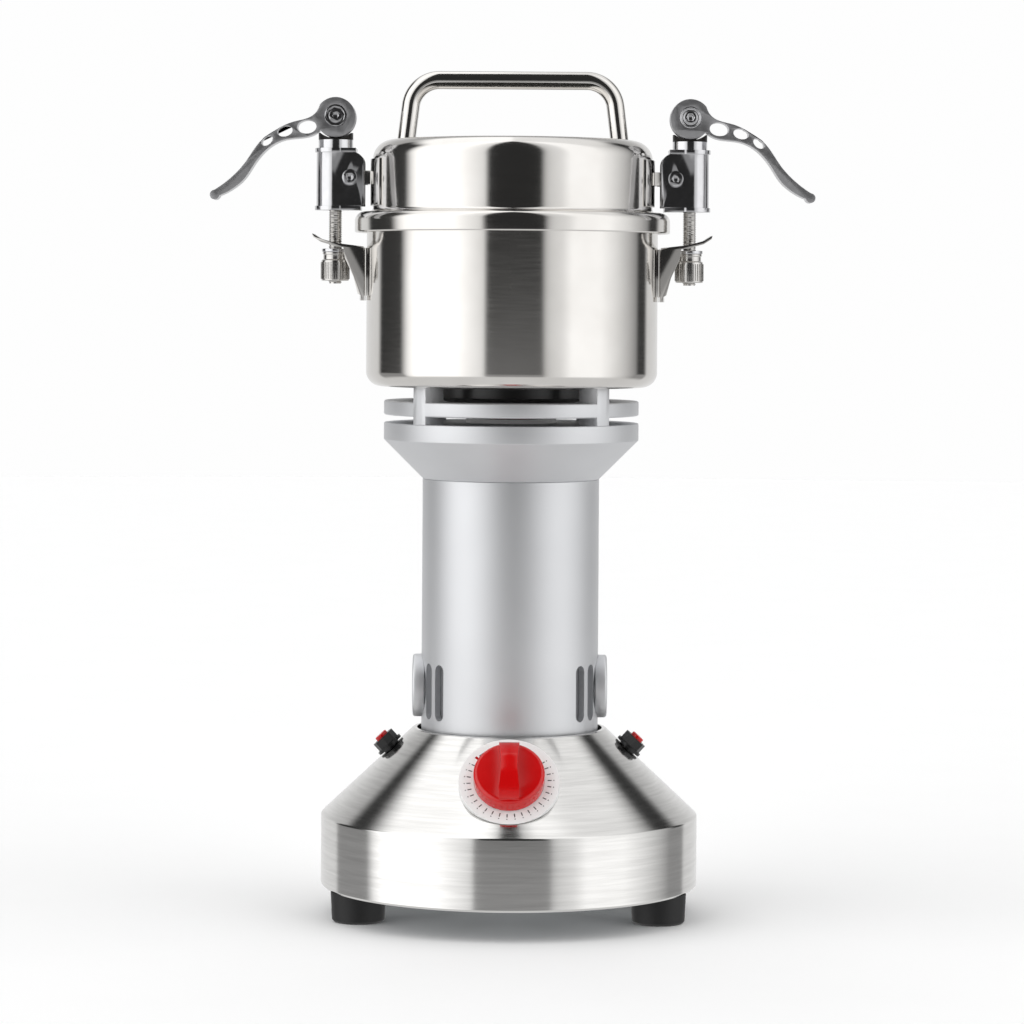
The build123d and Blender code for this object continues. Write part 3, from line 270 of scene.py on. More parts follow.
# %% Moulded materials
def moulded(name, dark, light, rough_low, rough_high, size_mm, depth_mm, ior=1.5):
    """Moulded plastic or rubber: an even texture of size_mm grains and a slightly uneven gloss."""
    made, tree, shader, coords = start_material(name)
    dress(shader, IOR=ior)
    skin = grain(tree, coords, size_mm, 3.0)
    clouds = grain(tree, coords, 14, 2.0)
    tint(tree, shader, dark, light, clouds)
    drive(tree, shader, "Roughness", rough_low, rough_high, clouds)
    relief(tree, shader, skin, depth_mm, 0.5)
    return made


# %% The finishes by slot
# slot: name, darkest and lightest colour, lowest and highest roughness, pitch of the tool lines in mm
TURNED = {
    "ground_steel": ("ground_steel", "#BDBBB8", "#DDDBD8", 0.14, 0.26, 0.5),
    "zinc_screw": ("zinc_plated_screw", "#A7A8A6", "#C9CAC7", 0.22, 0.36, 0.6),
    "bearing_steel": ("bearing_steel", "#8E9092", "#B4B6B8", 0.12, 0.24, 0.5),
    "lamination_steel": ("stacked_laminations", "#2B2D31", "#565A60", 0.35, 0.6, 0.5),
    "copper_bar": ("turned_copper", "#9A4F2A", "#C97B4C", 0.22, 0.4, 0.4),
}
# slot: name, colours, roughness, size and depth of the grain in mm
PLAIN = {
    "steel_plate": ("zinc_plated_sheet", "#8F9294", "#A9ACAD", 0.3, 0.45, 6.0, 0.01),
    "cast_aluminium": ("cast_aluminium", "#8C8D8E", "#A6A7A8", 0.45, 0.65, 0.9, 0.08),
    "brass_sheet": ("pressed_brass", "#A6802F", "#CBA551", 0.2, 0.34, 2.0, 0.02),
}
# slot: name, colours, roughness, size and depth of the texture in mm, index of refraction
MOULDED = {
    "carbon": ("pressed_graphite", "#101010", "#1D1D1E", 0.5, 0.65, 0.3, 0.03),
    "black_rubber": ("moulded_black_rubber", "#0B0B0C", "#171718", 0.5, 0.66, 0.25, 0.03),
    "red_silicone": ("red_silicone", "#A80F0A", "#C91C12", 0.35, 0.5, 0.8, 0.02, 1.41),
    "clear_silicone": ("milky_silicone", "#D6D6D2", "#E6E6E3", 0.35, 0.5, 0.8, 0.02, 1.41),
    "black_plastic": ("black_nylon", "#0A0A0B", "#161617", 0.28, 0.42, 0.35, 0.02, 1.53),
    "grey_plastic": ("grey_phenolic", "#6F7072", "#86878A", 0.4, 0.55, 0.6, 0.02, 1.6),
    "white_plastic": ("satin_white_abs", "#EDEDEC", "#F7F7F6", 0.3, 0.42, 0.5, 0.01, 1.53),
    "red_plastic": ("gloss_red_abs", "#C20508", "#D60A0C", 0.12, 0.2, 2.5, 0.01, 1.53),
}
FINISH = {
    "polished_stainless": buffed_stainless(), "brushed_stainless": brushed_stainless(),
    "blasted_aluminium": blasted_aluminium(), "chromed_steel": chrome_plate(),
    "black_steel": black_oxide_steel(), "copper_wire": copper_windings(),
}
for table, recipe in ((TURNED, turned_steel), (PLAIN, plain_metal), (MOULDED, moulded)):
    FINISH.update({slot: recipe(*values) for slot, values in table.items()})
print("finishes:", len(FINISH))

# %% [markdown]
# ## Pieces
# Two ways of making are used most. A spun piece is an outline turned about the upright axis: the
# outline's corners are rounded first, then bmesh turns it in 256 even steps. A softened piece is a
# copy of a CAD node with its doubled points merged, a narrow bevel on each sharp edge and smooth
# shading between. Both end as plain meshes that stand for their CAD nodes.

# %% Making helpers
ROUND_STEPS = 256
SHARP = math.radians(32)


def finish_mesh(name, mesh, slot, body, *stands_for, look=None):
    """Links a finished mesh as a piece: shading, material, body and the CAD nodes it stands for."""
    piece = bpy.data.objects.new(name, mesh)
    bpy.context.scene.collection.objects.link(piece)
    mesh.materials.clear()
    mesh.materials.append(look or FINISH[slot])
    mesh.shade_smooth()
    mesh.set_sharp_from_angle(angle=SHARP)
    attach(piece, body)
    if stands_for:
        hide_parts(*stands_for)
    return piece


def rounded(points, radii, closed=True, steps=8):
    """The corner points with each corner turned into an arc of its radius; 0 leaves it sharp."""
    out = []
    count = len(points)
    for i, (point, radius) in enumerate(zip(points, radii)):
        here = Vector(point)
        if radius == 0 or (not closed and i in (0, count - 1)):
            out.append(tuple(here))
            continue
        before, after = Vector(points[i - 1]), Vector(points[(i + 1) % count])
        to_before, to_after = (before - here).normalized(), (after - here).normalized()
        half = to_before.angle(to_after) / 2
        centre = here + (to_before + to_after).normalized() * (radius / math.sin(half))
        first = here + to_before * (radius / math.tan(half)) - centre
        last = here + to_after * (radius / math.tan(half)) - centre
        for k in range(steps + 1):
            out.append(tuple(centre + first.slerp(last, k / steps).normalized() * radius))
    return out


def spin_mesh(name, outline, steps=ROUND_STEPS):
    """Turns a closed (radius, height) outline in millimetres about the Z axis."""
    work = bmesh.new()
    ring = [work.verts.new((r * MM, 0, z * MM)) for r, z in outline]
    edges = [work.edges.new((ring[i - 1], ring[i])) for i in range(len(ring))]
    bmesh.ops.spin(work, geom=ring + edges, axis=(0, 0, 1), cent=(0, 0, 0),
                   angle=2 * math.pi, steps=steps, use_merge=True)
    bmesh.ops.remove_doubles(work, verts=work.verts, dist=1e-6)
    bmesh.ops.dissolve_degenerate(work, edges=work.edges, dist=1e-7)
    bmesh.ops.recalc_face_normals(work, faces=work.faces)
    mesh = bpy.data.meshes.new(name)
    work.to_mesh(mesh)
    work.free()
    return mesh


def sheet_outline(line, radii, wall, steps=8):
    """Closed outline of sheet metal: a rounded outside line and the same line a wall further in."""
    outside = rounded(line, radii, closed=False, steps=steps)
    inside = []
    for i, point in enumerate(outside):
        before = Vector(outside[max(i - 1, 0)])
        after = Vector(outside[min(i + 1, len(outside) - 1)])
        along = (after - before).normalized()
        inside.append((point[0] - along.y * wall, point[1] + along.x * wall))
    return outside + inside[::-1]


def evaluated(piece, name):
    """A plain mesh of a piece with its modifiers applied."""
    bpy.context.view_layer.update()
    seen = piece.evaluated_get(bpy.context.evaluated_depsgraph_get())
    mesh = bpy.data.meshes.new_from_object(seen)
    mesh.name = name
    return mesh


def cad_copy(node_name):
    """A copy of a CAD node's mesh with its doubled points merged and its flat faces joined."""
    work = bmesh.new()
    work.from_mesh(nodes[node_name].data)
    bmesh.ops.remove_doubles(work, verts=work.verts, dist=2e-6)
    bmesh.ops.dissolve_limit(work, angle_limit=math.radians(0.6), verts=work.verts, edges=work.edges,
                             delimit={"NORMAL"})
    mesh = bpy.data.meshes.new(node_name + "_copy")
    work.to_mesh(mesh)
    work.free()
    return mesh


def body_of(node_name):
    """The body that a CAD node rides on."""
    for body, members in frame["record"]["behaviour"]["bodies"].items():
        if node_name in members:
            return body
    raise ValueError(node_name)


def softened(node_name, slot, edge_mm, segments=2, angle=30, look=None):
    """A CAD node again, with every sharp edge broken by a small rounded bevel."""
    mesh = cad_copy(node_name)
    draft = bpy.data.objects.new(node_name + "_draft", mesh)
    bpy.context.scene.collection.objects.link(draft)
    bevel = draft.modifiers.new("edge", "BEVEL")
    bevel.width = edge_mm * MM
    bevel.segments = segments
    bevel.limit_method = "ANGLE"
    bevel.angle_limit = math.radians(angle)
    bevel.harden_normals = False
    bevel.use_clamp_overlap = True
    made = evaluated(draft, node_name + "_soft")
    bpy.data.objects.remove(draft)
    return finish_mesh(node_name + "_finished", made, slot, body_of(node_name), node_name, look=look)


def size_of(node_name):
    """A CAD node's lowest and highest corners, in millimetres."""
    low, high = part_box(node_name)
    return low / MM, high / MM


# %% [markdown]
# ## The column
# The column is a straight tube with a hair-fine chamfer at its top, where it meets the neck. Eight
# tall cooling slots and two round seats for the brush caps are cut with boolean cutters, because
# the cuts cross a curved wall.

# %% Motor column
def slot_cutter(azimuth, width, low, high):
    """A prism with round ends, as wide and tall as one cooling slot, pointing out at an azimuth."""
    work = bmesh.new()
    half, steps = width / 2, 16
    rim = []
    for centre, start in ((high - half, 0), (low + half, 180)):
        for k in range(steps + 1):
            angle = math.radians(start + 180 * k / steps)
            rim.append((half * math.cos(angle), centre + half * math.sin(angle)))
    near = [work.verts.new((25 * MM, y * MM, z * MM)) for y, z in rim]
    far = [work.verts.new((50 * MM, y * MM, z * MM)) for y, z in rim]
    work.faces.new(near)
    work.faces.new(far[::-1])
    for i in range(len(rim)):
        work.faces.new((near[i - 1], far[i - 1], far[i], near[i]))
    bmesh.ops.recalc_face_normals(work, faces=work.faces)
    work.transform(Matrix.Rotation(math.radians(azimuth), 4, "Z"))
    mesh = bpy.data.meshes.new("slot_cutter")
    work.to_mesh(mesh)
    work.free()
    return mesh


def disc_mesh(name, axis_matrix, radius, low, high, steps=96):
    """A plain closed cylinder along its own Z, placed by a matrix."""
    work = bmesh.new()
    bmesh.ops.create_cone(work, cap_ends=True, segments=steps, radius1=radius * MM, radius2=radius * MM,
                          depth=(high - low) * MM)
    work.transform(axis_matrix @ Matrix.Translation((0, 0, (low + high) / 2 * MM)))
    mesh = bpy.data.meshes.new(name)
    work.to_mesh(mesh)
    work.free()
    return mesh


def carve(name, mesh, cutters):
    """Cuts a list of closed meshes out of one mesh and returns the result."""
    body = bpy.data.objects.new(name, mesh)
    bpy.context.scene.collection.objects.link(body)
    tools = []
    for cutter in cutters:
        tool = bpy.data.objects.new("cutter", cutter)
        bpy.context.scene.collection.objects.link(tool)
        cut = body.modifiers.new("cut", "BOOLEAN")
        cut.operation, cut.solver, cut.object = "DIFFERENCE", "EXACT", tool
        tools.append(tool)
    made = evaluated(body, name)
    for tool in tools:
        bpy.data.objects.remove(tool)
    bpy.data.objects.remove(body)
    return made


tube_low, tube_high = size_of("motor_tube")
TUBE_R = tube_high.x
TUBE_WALL = 3.0
VENT_ANGLES, VENT_WIDTH, VENT_LOW, VENT_HIGH = (52.2, 65.4), 6.0, 86.0, 110.4
CAP_SEAT_R, CAP_HOLE_R, SEAT_DEPTH = 13.9, 11.75, 1.4
vents = [slot_cutter(side + k * angle, VENT_WIDTH, VENT_LOW, VENT_HIGH)
         for side in (-90, 90) for k in (-1, 1) for angle in VENT_ANGLES]
cap_z = sum(v.z for v in size_of("brush_caps")) / 2
seats = []
for sign in (-1, 1):
    turn = Matrix.Translation((0, 0, cap_z * MM)) @ Matrix.Rotation(sign * math.pi / 2, 4, "Y")
    seats.append(disc_mesh("cap_seat", turn, CAP_SEAT_R, TUBE_R - SEAT_DEPTH, TUBE_R + 6))
    seats.append(disc_mesh("cap_hole", turn, CAP_HOLE_R, TUBE_R - 6, TUBE_R))
tube_bore = TUBE_R - TUBE_WALL
tube_outline = rounded([(tube_bore, tube_low.z), (TUBE_R, tube_low.z), (TUBE_R, tube_high.z),
                        (tube_bore, tube_high.z)], [0, 0.3, 0.35, 0], steps=3)
tube_mesh = carve("motor_column", spin_mesh("motor_column", tube_outline), vents + seats)
column = finish_mesh("motor_column", tube_mesh, "blasted_aluminium", "root", "motor_tube")
print("column faces:", len(column.data.polygons))

# %% [markdown]
# ## The base
# The base is one steel sheet spun over a former: an upright band, a crisp shoulder, a cone, and a
# short flat lip that leaves a dark gap round the column. Its lower edge is rolled in a little, which
# gives the bright line under the band. Four holes are punched in the cone afterwards: for the timer's
# bush in front, for a reset breaker at each side, and for the cable gland at the back.

# %% Base skin
base_low, base_high = size_of("base_shell")
BASE_R = base_high.x
SHOULDER_Z = 43.5
LIP_R = TUBE_R + 1.8
CONE_TOP_R = LIP_R + 1.6
CONE_RISE = (base_high.z - SHOULDER_Z) / (BASE_R - CONE_TOP_R)
CONE_TILT = 90 - math.degrees(math.atan(CONE_RISE))


def on_cone(azimuth, radius, tilt=CONE_TILT, proud=0.0):
    """Matrix of a place over the cone: its Z points out along the tilt, its Y up the slope."""
    height = SHOULDER_Z + (BASE_R - radius) * CONE_RISE + proud
    turn = (Matrix.Rotation(math.radians(azimuth + 90), 4, "Z")
            @ Matrix.Rotation(math.radians(90 - tilt), 4, "X"))
    out = Matrix.Rotation(math.radians(azimuth), 4, "Z") @ Vector((radius * MM, 0, 0))
    return Matrix.Translation(out + Vector((0, 0, height * MM))) @ turn


DIAL_OUT, DIAL_DROOP, DIAL_PROUD = 63.0, 5.9, 3.56
BREAKER_OUT, GLAND_OUT = 51.8, 70.0
DIAL_AT = on_cone(-90, DIAL_OUT, CONE_TILT - DIAL_DROOP, DIAL_PROUD)
base_line = [(BASE_R - 0.6, base_low.z), (BASE_R, base_low.z + 0.8), (BASE_R, SHOULDER_Z),
             (CONE_TOP_R, base_high.z), (LIP_R, base_high.z)]
base_outline = sheet_outline(base_line, [0, 0.6, 1.2, 1.6, 0], 1.2)
holes = [(DIAL_AT, 4.8), (on_cone(0, BREAKER_OUT), 4.1), (on_cone(180, BREAKER_OUT), 4.1),
         (on_cone(90, GLAND_OUT), 6.15)]
punches = [disc_mesh("punch", place, radius, -8, 8) for place, radius in holes]
base_mesh = carve("base_skin", spin_mesh("base_skin", base_outline), punches)
base_skin = finish_mesh("base_skin", base_mesh, "brushed_stainless", "root", "base_shell")
print("base skin faces:", len(base_skin.data.polygons))

# %% [markdown]
# ## Neck, ring and bowl support
# The neck flares at 45 degrees to a flat flange. All its edges are broken by about half a millimetre,
# as a caster's fettling leaves them. The ring above keeps its CAD shape, softened.

# %% Neck
neck_low, neck_high = size_of("neck_casting")
NECK_R = neck_high.x
SPIGOT_R, SHAFT_HOLE_R, BEARING_R, HUB_R = TUBE_R - 3.2, 9.0, 14.0, 18.0
HUB_LOW, SEAT_TOP, FLANGE_LOW = 195.0, 204.0, 208.8
neck_outline = rounded(
    [(SPIGOT_R, neck_low.z), (SPIGOT_R, tube_high.z + 0.05), (TUBE_R, tube_high.z + 0.05),
     (NECK_R, tube_high.z + NECK_R - TUBE_R), (NECK_R, neck_high.z), (SHAFT_HOLE_R, neck_high.z),
     (SHAFT_HOLE_R, SEAT_TOP), (BEARING_R, SEAT_TOP), (BEARING_R, HUB_LOW), (HUB_R, HUB_LOW),
     (HUB_R, FLANGE_LOW), (NECK_R - 10, FLANGE_LOW), (TUBE_R - 7, tube_high.z), (TUBE_R - 7, neck_low.z)],
    [0, 0, 0.35, 0.6, 0.5, 0, 0, 0, 0, 0, 0, 0, 0, 0], steps=4)
neck = finish_mesh("neck", spin_mesh("neck", neck_outline), "blasted_aluminium", "root", "neck_casting")
print("neck faces:", len(neck.data.polygons))
softened("support_ring", "blasted_aluminium", 0.4)
softened("brush_caps", "blasted_aluminium", 0.4)

# %% [markdown]
# ## Bowl and lid
# Both are drawn from flat discs in a press. The bowl has a round bottom corner and a lip that turns
# out under the lid. The lid's skirt is rolled over that lip, steps in through a hollow curve and then
# rises straight to a wide rounded top corner.

# %% Bowl
bowl_low, bowl_high = size_of("bowl")
BOWL_R = 64.0
lip_r = bowl_high.x
bowl_line = [(7.2, bowl_low.z), (BOWL_R, bowl_low.z), (BOWL_R, bowl_high.z - 1.5), (lip_r, bowl_high.z - 1.5)]
bowl_outline = sheet_outline(bowl_line, [0, 6.5, 0.8, 0], 1.5, steps=14)
bowl = finish_mesh("bowl_polished", spin_mesh("bowl_polished", bowl_outline), "polished_stainless",
                   "root", "bowl")
print("bowl faces:", len(bowl.data.polygons))

# %% Lid
lid_low, lid_high = size_of("lid_shell")
SKIRT_R = lid_high.x
LID_R = 61.5
SKIRT_TOP = 307.4
lid_line = [(SKIRT_R - 0.3, lid_low.z), (SKIRT_R, lid_low.z + 0.5), (SKIRT_R, SKIRT_TOP),
            (LID_R, SKIRT_TOP), (LID_R, lid_high.z), (0.02, lid_high.z)]
lid_outline = sheet_outline(lid_line, [0, 0.3, 4.0, 1.9, 8.5, 0], 1.2, steps=14)
lid = finish_mesh("lid_polished", spin_mesh("lid_polished", lid_outline), "polished_stainless",
                  "lid", "lid_shell")
print("lid faces:", len(lid.data.polygons))

# %% [markdown]
# ## Handle
# The handle is an 8 mm rod bent in two places and welded to the lid. A curve with a round bevel is
# the plainest way to a bent rod: its path is the rod's middle line.

# %% Rod handle
def bent_rod(name, line, radii, rod_r, slot, body, *stands_for):
    """A rod of a radius along a line of (x, z) points whose corners are bent to arcs."""
    path = rounded(line, radii, closed=False, steps=18)
    curve = bpy.data.curves.new(name, "CURVE")
    curve.dimensions = "3D"
    curve.bevel_depth = rod_r * MM
    curve.bevel_resolution = 12
    curve.use_fill_caps = True
    spline = curve.splines.new("POLY")
    spline.points.add(len(path) - 1)
    for point, (x, z) in zip(spline.points, path):
        point.co = (x * MM, 0, z * MM, 1)
    draft = bpy.data.objects.new(name, curve)
    bpy.context.scene.collection.objects.link(draft)
    mesh = evaluated(draft, name)
    bpy.data.objects.remove(draft)
    return finish_mesh(name, mesh, slot, body, *stands_for)


ROD_R, BEND_R, ROD_FOOT_X, LEAN_IN = 4.0, 12.7, 46.9, math.radians(7.0)
rod_top = size_of("lid_handle")[1].z - ROD_R
bend_x = ROD_FOOT_X - (rod_top - lid_high.z) * math.tan(LEAN_IN)
rod_line = [(-ROD_FOOT_X, lid_high.z), (-bend_x, rod_top), (bend_x, rod_top), (ROD_FOOT_X, lid_high.z)]
rod = bent_rod("rod_handle", rod_line, [0, BEND_R, BEND_R, 0], ROD_R, "polished_stainless", "lid",
               "lid_handle")
print("handle faces:", len(rod.data.polygons))

# %% [markdown]
# ## Small sheet and cast pieces
# Brackets, housings, saddles, pins, bolts and levers keep their CAD shapes. What they need for a
# close look is an edge that catches light, so each gets a bevel as wide as its maker's tumbling or
# polishing leaves. The levers were polished on their rims after plating, so theirs is widest.

# %% Clamp pieces
SOFT_EDGES = {
    "fork_bracket": ("polished_stainless", 0.25), "lid_bracket": ("polished_stainless", 0.2),
    "clamp_housing": ("chromed_steel", 0.3), "cam_saddle": ("black_steel", 0.25),
    "pivot_bolt": ("chromed_steel", 0.4), "cam_pin": ("chromed_steel", 0.33),
    "thrust_washer": ("chromed_steel", 0.2),
}
TUMBLED_CHROME = chrome_plate("tumbled_chrome_casting", 0.22)
for side in ("left", "right"):
    for piece_name, (slot, edge) in SOFT_EDGES.items():
        softened(f"{piece_name}_{side}", slot, edge)
    softened(f"cam_lever_{side}", "chromed_steel", 0.8, 3, look=TUMBLED_CHROME)
softened("bracket_pads", "polished_stainless", 0.2)

# %% [markdown]
# ## Threads, knurls and marks
# What repeats or follows a path is a Geometry Nodes group with named inputs. One group winds a
# rolled thread: a small round ridge swept along a helix. The other sets bars on an arc: the straight
# flutes of the knurled nuts and the ticks of the dial. Each group is run once on an empty mesh, and
# only its result is kept.

# %% Geometry Nodes helpers
def node_group(name, **sockets):
    """A Geometry Nodes group with named inputs, given as name=socket type, and a geometry output."""
    group = bpy.data.node_groups.new(name, "GeometryNodeTree")
    for label, kind in sockets.items():
        group.interface.new_socket(label, in_out="INPUT", socket_type="NodeSocket" + kind)
    group.interface.new_socket("Geometry", in_out="OUTPUT", socket_type="NodeSocketGeometry")
    return group, group.nodes.new("NodeGroupInput").outputs


def close_group(group, geometry, material):
    """Makes instances real, gives them their material and passes them to the group's output."""
    real = add(group, "GeometryNodeRealizeInstances", {"Geometry": geometry})
    painted = add(group, "GeometryNodeSetMaterial", {"Geometry": real.outputs[0], "Material": material})
    add(group, "NodeGroupOutput", {"Geometry": painted.outputs[0]})
    return group


def grow(name, group, **values):
    """Runs a node group with chosen input values and returns what it makes as a plain mesh."""
    carrier = bpy.data.objects.new(name, bpy.data.meshes.new(name))
    bpy.context.scene.collection.objects.link(carrier)
    modifier = carrier.modifiers.new(name, "NODES")
    modifier.node_group = group
    for item in group.interface.items_tree:
        if item.item_type == "SOCKET" and item.in_out == "INPUT":
            modifier[item.identifier] = values[item.name]
    mesh = evaluated(carrier, name)
    bpy.data.objects.remove(carrier)
    return mesh


def maths(tree, operation, *values):
    """One maths node's result."""
    return add(tree, "ShaderNodeMath", dict(enumerate(values)), operation=operation).outputs[0]


def vector_of(tree, x, y, z):
    """Three numbers or outputs as one vector output."""
    return add(tree, "ShaderNodeCombineXYZ", {"X": x, "Y": y, "Z": z}).outputs[0]


def joined(name, *meshes):
    """Several meshes as one, with normals that all point outwards."""
    work = bmesh.new()
    for mesh in meshes:
        work.from_mesh(mesh)
    bmesh.ops.recalc_face_normals(work, faces=work.faces)
    made = bpy.data.meshes.new(name)
    work.to_mesh(made)
    work.free()
    return made


# %% Rolled thread
def thread_group():
    """A ridge swept along a helix that climbs the Z axis."""
    group, given = node_group("rolled_thread", Radius="Float", Pitch="Float", Turns="Float", Ridge="Float",
                              Material="Material")
    climb = maths(group, "MULTIPLY", given["Pitch"], given["Turns"])
    helix = add(group, "GeometryNodeCurveSpiral",
                {"Resolution": 28, "Rotations": given["Turns"], "Start Radius": given["Radius"],
                 "End Radius": given["Radius"], "Height": climb})
    ridge = add(group, "GeometryNodeCurvePrimitiveCircle", {"Resolution": 8, "Radius": given["Ridge"]})
    swept = add(group, "GeometryNodeCurveToMesh",
                {"Curve": helix.outputs[0], "Profile Curve": ridge.outputs[0], "Fill Caps": True})
    return close_group(group, swept.outputs[0], given["Material"])


THREAD = thread_group()
CORE_R, CREST_R, PITCH = 2.6, 2.93, 1.0
THREADED = 50.0
THREAD_TOP = size_of("clamp_screw_right")[0].z + THREADED


def threaded_screw(side):
    """The CAD screw with its lower 50 mm turned down to the core, and the rolled thread wound on it."""
    node = f"clamp_screw_{side}"
    low, high = size_of(node)
    axis = (low.x + high.x) / 2
    work = bmesh.new()
    work.from_mesh(cad_copy(node))
    for height in (THREAD_TOP, THREAD_TOP - 0.3):
        bmesh.ops.bisect_plane(work, geom=work.verts[:] + work.edges[:] + work.faces[:],
                               plane_co=(0, 0, height * MM), plane_no=(0, 0, 1))
    for vert in work.verts:
        if vert.co.z < (THREAD_TOP - 0.2) * MM:
            reach = Vector((vert.co.x - axis * MM, vert.co.y, 0))
            if reach.length > 2 * MM:
                vert.co -= reach * (1 - CORE_R * MM / reach.length)
    core = bpy.data.meshes.new(node)
    work.to_mesh(core)
    work.free()
    turns = (THREAD_TOP - 0.6 - low.z - 0.6) / PITCH
    ridge = (CREST_R - CORE_R) * MM
    wound = grow(node + "_thread", THREAD, Radius=CORE_R * MM, Pitch=PITCH * MM, Turns=turns, Ridge=ridge,
                 Material=FINISH["ground_steel"])
    wound.transform(Matrix.Translation((axis * MM, 0, (low.z + 0.6) * MM)))
    return finish_mesh(node + "_threaded", joined(node + "_threaded", core, wound), "ground_steel",
                       body_of(node), node)


# %% Bars on an arc
def arc_group():
    """Equal bars standing on an arc of the XY plane, their length along the radius."""
    group, given = node_group("bars_on_an_arc", Radius="Float", Start="Float", Step="Float", Count="Int",
                              Length="Float", Width="Float", Height="Float", Material="Material")
    index = group.nodes.new("GeometryNodeInputIndex").outputs[0]
    angle = maths(group, "ADD", given["Start"], maths(group, "MULTIPLY", given["Step"], index))
    across = maths(group, "MULTIPLY", given["Radius"], maths(group, "COSINE", angle))
    along = maths(group, "MULTIPLY", given["Radius"], maths(group, "SINE", angle))
    row = add(group, "GeometryNodeMeshLine", {"Count": given["Count"]})
    points = add(group, "GeometryNodeSetPosition",
                 {"Geometry": row.outputs[0], "Position": vector_of(group, across, along, 0.0)})
    bar = add(group, "GeometryNodeMeshCube",
              {"Size": vector_of(group, given["Length"], given["Width"], given["Height"])})
    turn = add(group, "FunctionNodeEulerToRotation", {"Euler": vector_of(group, 0.0, 0.0, angle)})
    stood = add(group, "GeometryNodeInstanceOnPoints",
                {"Points": points.outputs[0], "Instance": bar.outputs[0], "Rotation": turn.outputs[0]})
    return close_group(group, stood.outputs[0], given["Material"])


ARC = arc_group()


def bars(name, slot, radius, start, step, count, length, width, height):
    """Bars from the arc group; angles in degrees and sizes in millimetres."""
    return grow(name, ARC, Radius=radius * MM, Start=math.radians(start), Step=math.radians(step),
                Count=count, Length=length * MM, Width=width * MM, Height=height * MM,
                Material=FINISH[slot])


FLUTES, FLUTE_DEPTH, GRIP_H = 40, 0.35, 9.0
NUT_BORE_R, COLLAR_R, FLANGE_R, UNDER_WASHER = 3.03, 5.2, 5.55, 0.06


def fluted_nut(side):
    """The knurled nut: a spun body with a thin top flange and a smooth collar, and 40 straight flutes."""
    node = f"knurled_nut_{side}"
    low, high = size_of(node)
    axis = (low.x + high.x) / 2
    grip_r = (high.x - low.x) / 2
    grip_top, top = low.z + GRIP_H, high.z - UNDER_WASHER
    root_r = grip_r - FLUTE_DEPTH
    outline = rounded([(NUT_BORE_R, low.z), (root_r, low.z), (root_r, grip_top), (COLLAR_R, grip_top + 0.5),
                       (COLLAR_R, top - 1.0), (FLANGE_R, top - 1.0), (FLANGE_R, top), (NUT_BORE_R, top)],
                      [0, 0.5, 0.5, 0.3, 0.2, 0.2, 0.2, 0], steps=4)
    body = spin_mesh(node, outline, steps=96)
    flutes = bars(node + "_flutes", "ground_steel", grip_r - 0.4, 0, 360 / FLUTES, FLUTES, 0.75, 0.5, 7.4)
    flutes.transform(Matrix.Translation((0, 0, (low.z + GRIP_H / 2) * MM)))
    whole = joined(node + "_fluted", body, flutes)
    whole.transform(Matrix.Translation((axis * MM, 0, 0)))
    return finish_mesh(node + "_fluted", whole, "ground_steel", body_of(node), node)


for side in ("left", "right"):
    screw, nut = threaded_screw(side), fluted_nut(side)
    print(side, "screw and nut faces:", len(screw.data.polygons), len(nut.data.polygons))

# %% [markdown]
# ## Dial and knob
# The dial is a moulded disc with pad-printed marks: black ticks, a dot outside each tick, one black
# stroke for the stop and one red stroke for continuous running. Ink lies a few hundredths of a
# millimetre on the plastic. The knob is a glossy moulding, so its edges are rounded more than metal's.

# %% Dial and knob
softened("dial_plate", "white_plastic", 0.5, 3)
softened("timer_knob", "red_plastic", 0.8, 4)
INK = 0.06


def printed(name, slot, *strokes):
    """Ink on the dial: bars given as (radius, start, step, count, length, width), sunk a little in it."""
    layers = [bars(name, slot, radius, start, step, count, length, width, INK)
              for radius, start, step, count, length, width in strokes]
    mesh = joined(name, *layers)
    mesh.transform(DIAL_AT @ Matrix.Translation((0, 0, INK / 4 * MM)))
    return finish_mesh(name, mesh, slot, "root")


printed("dial_ticks", "black_plastic", (17.2, -208, 10.5, 24, 1.7, 0.42), (19.0, -208, 10.5, 24, 0.4, 0.45),
        (17.6, 117, 1.5, 12, 1.1, 0.9))
printed("dial_red_mark", "red_plastic", (17.6, 139, 1.0, 2, 2.4, 0.8))

# %% Everything else keeps its CAD mesh and takes its slot's finish
slot_of = {part["node"]: part["material_slot"] for part in frame["record"]["subparts"]}
for name, node in nodes.items():
    node.data.materials.clear()
    node.data.materials.append(FINISH[slot_of[name]])
print("CAD nodes dressed:", len(nodes))

# %% [markdown]
# ## Studio
# Polished metal is only as good as the room around it. The room here is a ring of light seen from
# the object: a tall soft panel on each side, a dark gap where the camera stands, a narrow black flag
# behind each panel, and a white backdrop. A drum mirrors that ring as upright stripes, with a dark
# one in its middle and a thin dark one near each edge. The floor takes the contact shadow.

# %% Floor
def studio_floor():
    """A wide pale sheet under the object. Reflections skip it, so the drum mirrors only the room."""
    made, tree, shader, coords = start_material("matt_white_card")
    dress(shader, Roughness=0.8, IOR=1.4)
    card = grain(tree, coords, 60, 2.0)
    tint(tree, shader, "#FBFBFB", "#FDFDFD", card)
    work = bmesh.new()
    bmesh.ops.create_circle(work, cap_ends=True, segments=96, radius=4.0)
    mesh = bpy.data.meshes.new("studio_floor")
    work.to_mesh(mesh)
    work.free()
    floor = bpy.data.objects.new("studio_floor", mesh)
    bpy.context.scene.collection.objects.link(floor)
    mesh.materials.append(made)
    floor.visible_glossy = False
    return floor


studio_floor()

